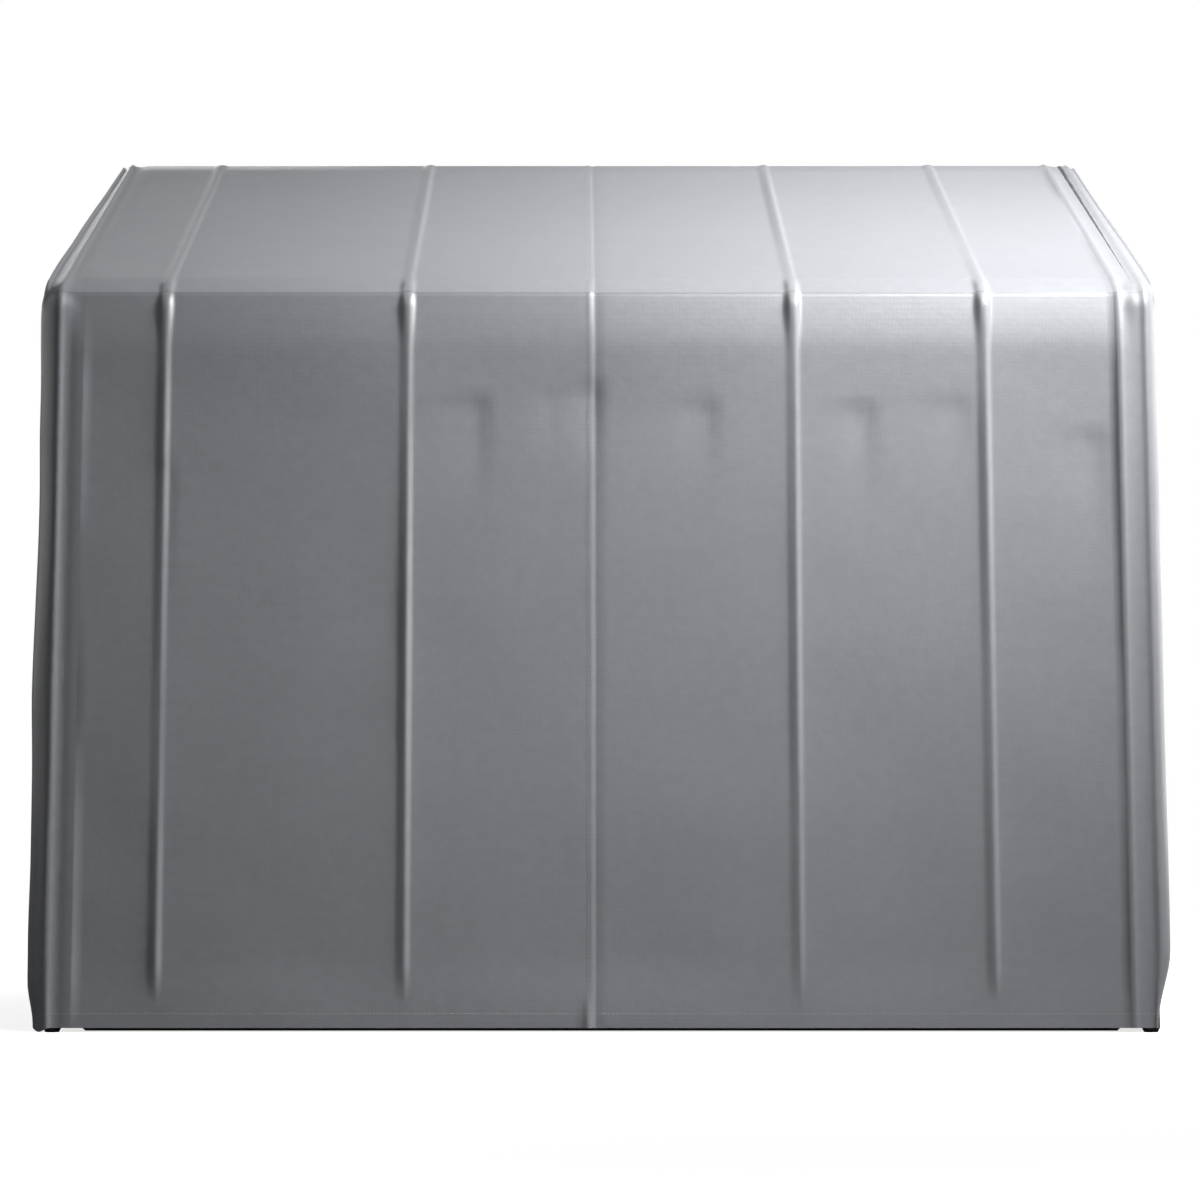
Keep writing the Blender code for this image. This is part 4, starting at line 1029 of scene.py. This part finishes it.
def fit_exhaust(materials):
    """Seams, straps and nuts of the muffler, and the rivets of the collar."""
    low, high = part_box("muffler")
    middle_x, radius = (low.x + high.x) / 2, (high.x - low.x) / 2
    seams = Fitting("muffler_seams", "aluminised_steel")
    for y in MUFFLER_SEAMS:
        place = (middle_x, low.y + y, MUFFLER_Z)
        seams.band(place, TO_REAR, radius - 0.002, radius + 0.0035, 0.0065)
    for y in MUFFLER_STRAPS:
        seams.band((middle_x, y, MUFFLER_Z), TO_REAR, radius - 0.001, radius + 0.0016, 0.020)
    end_cap = [(0.045, 0), (0.044, 0.0035), (0.030, 0.0035), (0.029, 0.001)]
    seams.turned((middle_x, low.y, MUFFLER_Z), TO_FRONT, end_cap, 40)
    seams.finish(materials)
    nuts = Fitting("exhaust_nuts", "bare_steel")
    for x in (-0.0235, 0.0235):
        nuts.bolt((middle_x + x, 0, MUFFLER_Z + radius + 0.008), UP, 0.0060)
    for y in MUFFLER_STRAPS:
        for x in (-0.040, 0.040):
            nuts.bolt((middle_x + x, y - 0.015, MUFFLER_Z - 0.130), TO_FRONT, 0.0060)
    nuts.finish(materials)
    rivets = Fitting("collar_rivets", "bare_steel")
    collar_low, collar_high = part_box("exhaust_collar")
    centre = (collar_low + collar_high) / 2
    for i in range(8):
        angle = math.pi * (i + 0.5) / 4
        x, z = centre.x + 0.0555 * math.cos(angle), centre.z + 0.0555 * math.sin(angle)
        rivets.screw((x, collar_high.y - 0.0002, z), TO_REAR, 0.0032)
    rivets.finish(materials)


def fit_fuel_and_battery(materials):
    """The hose's clamps, and the battery's lid and clamps."""
    clamps = Fitting("hose_clamps", "bare_steel")
    hose_low, hose_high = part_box("fuel_hose")
    ends = (
        (Vector((hose_low.x + 0.009, hose_high.y - 0.009, hose_low.z + 0.012)), UP, TO_REAR),
        (Vector((hose_high.x - 0.012, 0, 0.487)), TO_RIGHT, UP),
    )
    for place, axis, outwards in ends:
        clamps.band(place, axis, 0.0086, 0.0104, 0.009, sides=28)
        across = axis.cross(outwards)
        screw = place + outwards * 0.0128 - across * 0.006
        clamps.turned(screw, across, [(0.0034, 0), (0.0034, 0.012)], sides=12)
    clamps.finish(materials)

    low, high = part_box("battery")
    top = BATTERY_TOP
    lid = Fitting("battery_lid", "black_plastic")
    edge = Vector((0.002, 0.002, 0))
    lid.plate(
        Vector((low.x, low.y, top - 0.016)) - edge, Vector((high.x, high.y, top + 0.0025)) + edge, 0.003
    )
    middle = (low + high) / 2
    for x in (middle.x - 0.048, middle.x + 0.048):
        cap_low, cap_high = (x - 0.036, middle.y - 0.004), (x + 0.036, middle.y + 0.032)
        lid.plate((*cap_low, top + 0.002), (*cap_high, top + 0.008), 0.0022)
    rim = 0.0012
    for z in (low.z + 0.030, low.z + 0.150):
        lid.plate((low.x - rim, low.y - rim, z), (high.x + rim, high.y + rim, z + 0.006), 0.0011)
    lid.finish(materials)
    terminals = Fitting("battery_clamps", "bare_steel")
    for x in (low.x + 0.030, high.x - 0.030):
        terminals.band((x, 0.040, top + 0.0085), UP, 0.0088, 0.0150, 0.010, sides=28)
        terminals.plate((x - 0.004, 0.018, top + 0.0045), (x + 0.004, 0.028, top + 0.0125), 0.0015)
        terminals.bolt((x + 0.004, 0.022, top + 0.0085), TO_RIGHT, 0.0040)
    terminals.finish(materials)


def fit_controls(materials):
    """Bezels, window, screws, louvred cover and the door's latch and knuckles."""
    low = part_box("control_cabinet")[0]
    door_low, door_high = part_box("control_door")
    button_low, button_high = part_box("button_off")
    middle_x, button_z = (button_low.x + button_high.x) / 2, (button_low.z + button_high.z) / 2
    panel_y = low.y + PANEL_RECESS
    face = Fitting("panel_bezels", "black_plastic")

    def on_panel(fitting, x, z, depths, rounded):
        """A plate on the panel: x from the panel's middle, z, and how far it stands out."""
        low_corner = (middle_x + x[0], panel_y - depths[0], z[0])
        fitting.plate(low_corner, (middle_x + x[1], panel_y - depths[1], z[1]), rounded)

    on_panel(face, (-0.044, 0.044), (0.594, 0.642), (0.004, 0), 0.0018)
    for x in (-0.050, 0.0, 0.050):
        place = (middle_x + x, panel_y - 0.0008, button_z)
        face.band(place, TO_FRONT, 0.0101, 0.0140, 0.0028, sides=32)
    for x in (-0.0135, 0.0135):
        on_panel(face, (x - 0.0035, x + 0.0035), (0.434, 0.476), (0.0022, 0), 0.0009)
    for z in (0.4355, 0.4745):
        on_panel(face, (-0.017, 0.017), (z - 0.0035, z + 0.0035), (0.0022, 0), 0.0009)
    face.finish(materials)
    window = Fitting("panel_window", "blue_plastic")
    on_panel(window, (-0.037, 0.037), (0.600, 0.636), (0.0046, 0.003), 0.0007)
    window.finish(materials | {"blue_plastic": DISPLAY})
    screws = Fitting("cabinet_screws", "bare_steel")
    for x in (-0.080, 0.080):
        for z in (0.414, 0.646):
            screws.screw((middle_x + x, panel_y, z), TO_FRONT, 0.0040)
        for z in (0.105, 0.355):
            screws.screw((middle_x + x, low.y - 0.0018, z), TO_FRONT, 0.0042)
    hinge_zs = (door_low.z + 0.035, door_high.z - 0.035)
    for z in hinge_zs:
        for offset in (-0.020, 0.0075):
            screws.turned((door_low.x, door_low.y, z + offset), UP, [(0.0038, 0), (0.0038, 0.0125)])
    screws.finish(materials)
    lower = Fitting("cabinet_lower_cover", "grey_paint")
    front, half = low.y, 0.092
    corner = (middle_x + half, front + 0.001, 0.370)
    lower.plate((middle_x - half, front - 0.0018, 0.090), corner, 0.0009)
    louvre = 0.055
    for step in range(5):
        z = 0.190 + step * 0.016
        corner = (middle_x + louvre, front - 0.0010, z + 0.007)
        lower.plate((middle_x - louvre, front - 0.0050, z), corner, 0.0018)
    lower.finish(materials)
    latch = Fitting("door_latch", "bare_steel", body="control_door")
    place = Vector((door_high.x - 0.022, door_low.y, (door_low.z + door_high.z) / 2))
    rose = [(0.0125, 0), (0.0125, 0.0020), (0.0108, 0.0034), (0.0100, 0.0034)]
    latch.turned(place, TO_FRONT, rose, 36)
    slot_low, slot_high = Vector((-0.0018, -0.0052, -0.0085)), Vector((0.0018, -0.0030, 0.0085))
    latch.plate(place + slot_low, place + slot_high, 0.0008)
    for z in hinge_zs:
        latch.turned((door_low.x, door_low.y, z - 0.0070), UP, [(0.0038, 0), (0.0038, 0.0140)])
    latch.finish(materials)


# ---------------- build
add_camera()
add_studio()
CLOTH = cover_cloth("plain_cloth")
BINDING = metal(
    "binding_tape", (0.085, 0.088, 0.094), (0.110, 0.113, 0.120), (0.55, 0.70), metallic=0.0
)
DISPLAY = metal(
    "display_window", (0.008, 0.012, 0.014), (0.014, 0.020, 0.022), (0.06, 0.12), metallic=0.0
)
MATERIALS = finish_cad_parts()
for fit in (fit_engine, fit_exhaust, fit_fuel_and_battery, fit_controls):
    fit(MATERIALS)
make_cover_sheet()
for side, end, hoop in ((-1, "left", "hoop_1"), (1, "right", "hoop_6")):
    end_wall = make_end_wall(side, f"cover_{end}_end", f"vent_flap_{end}")
    make_vent_flap(side, f"vent_flap_{end}")
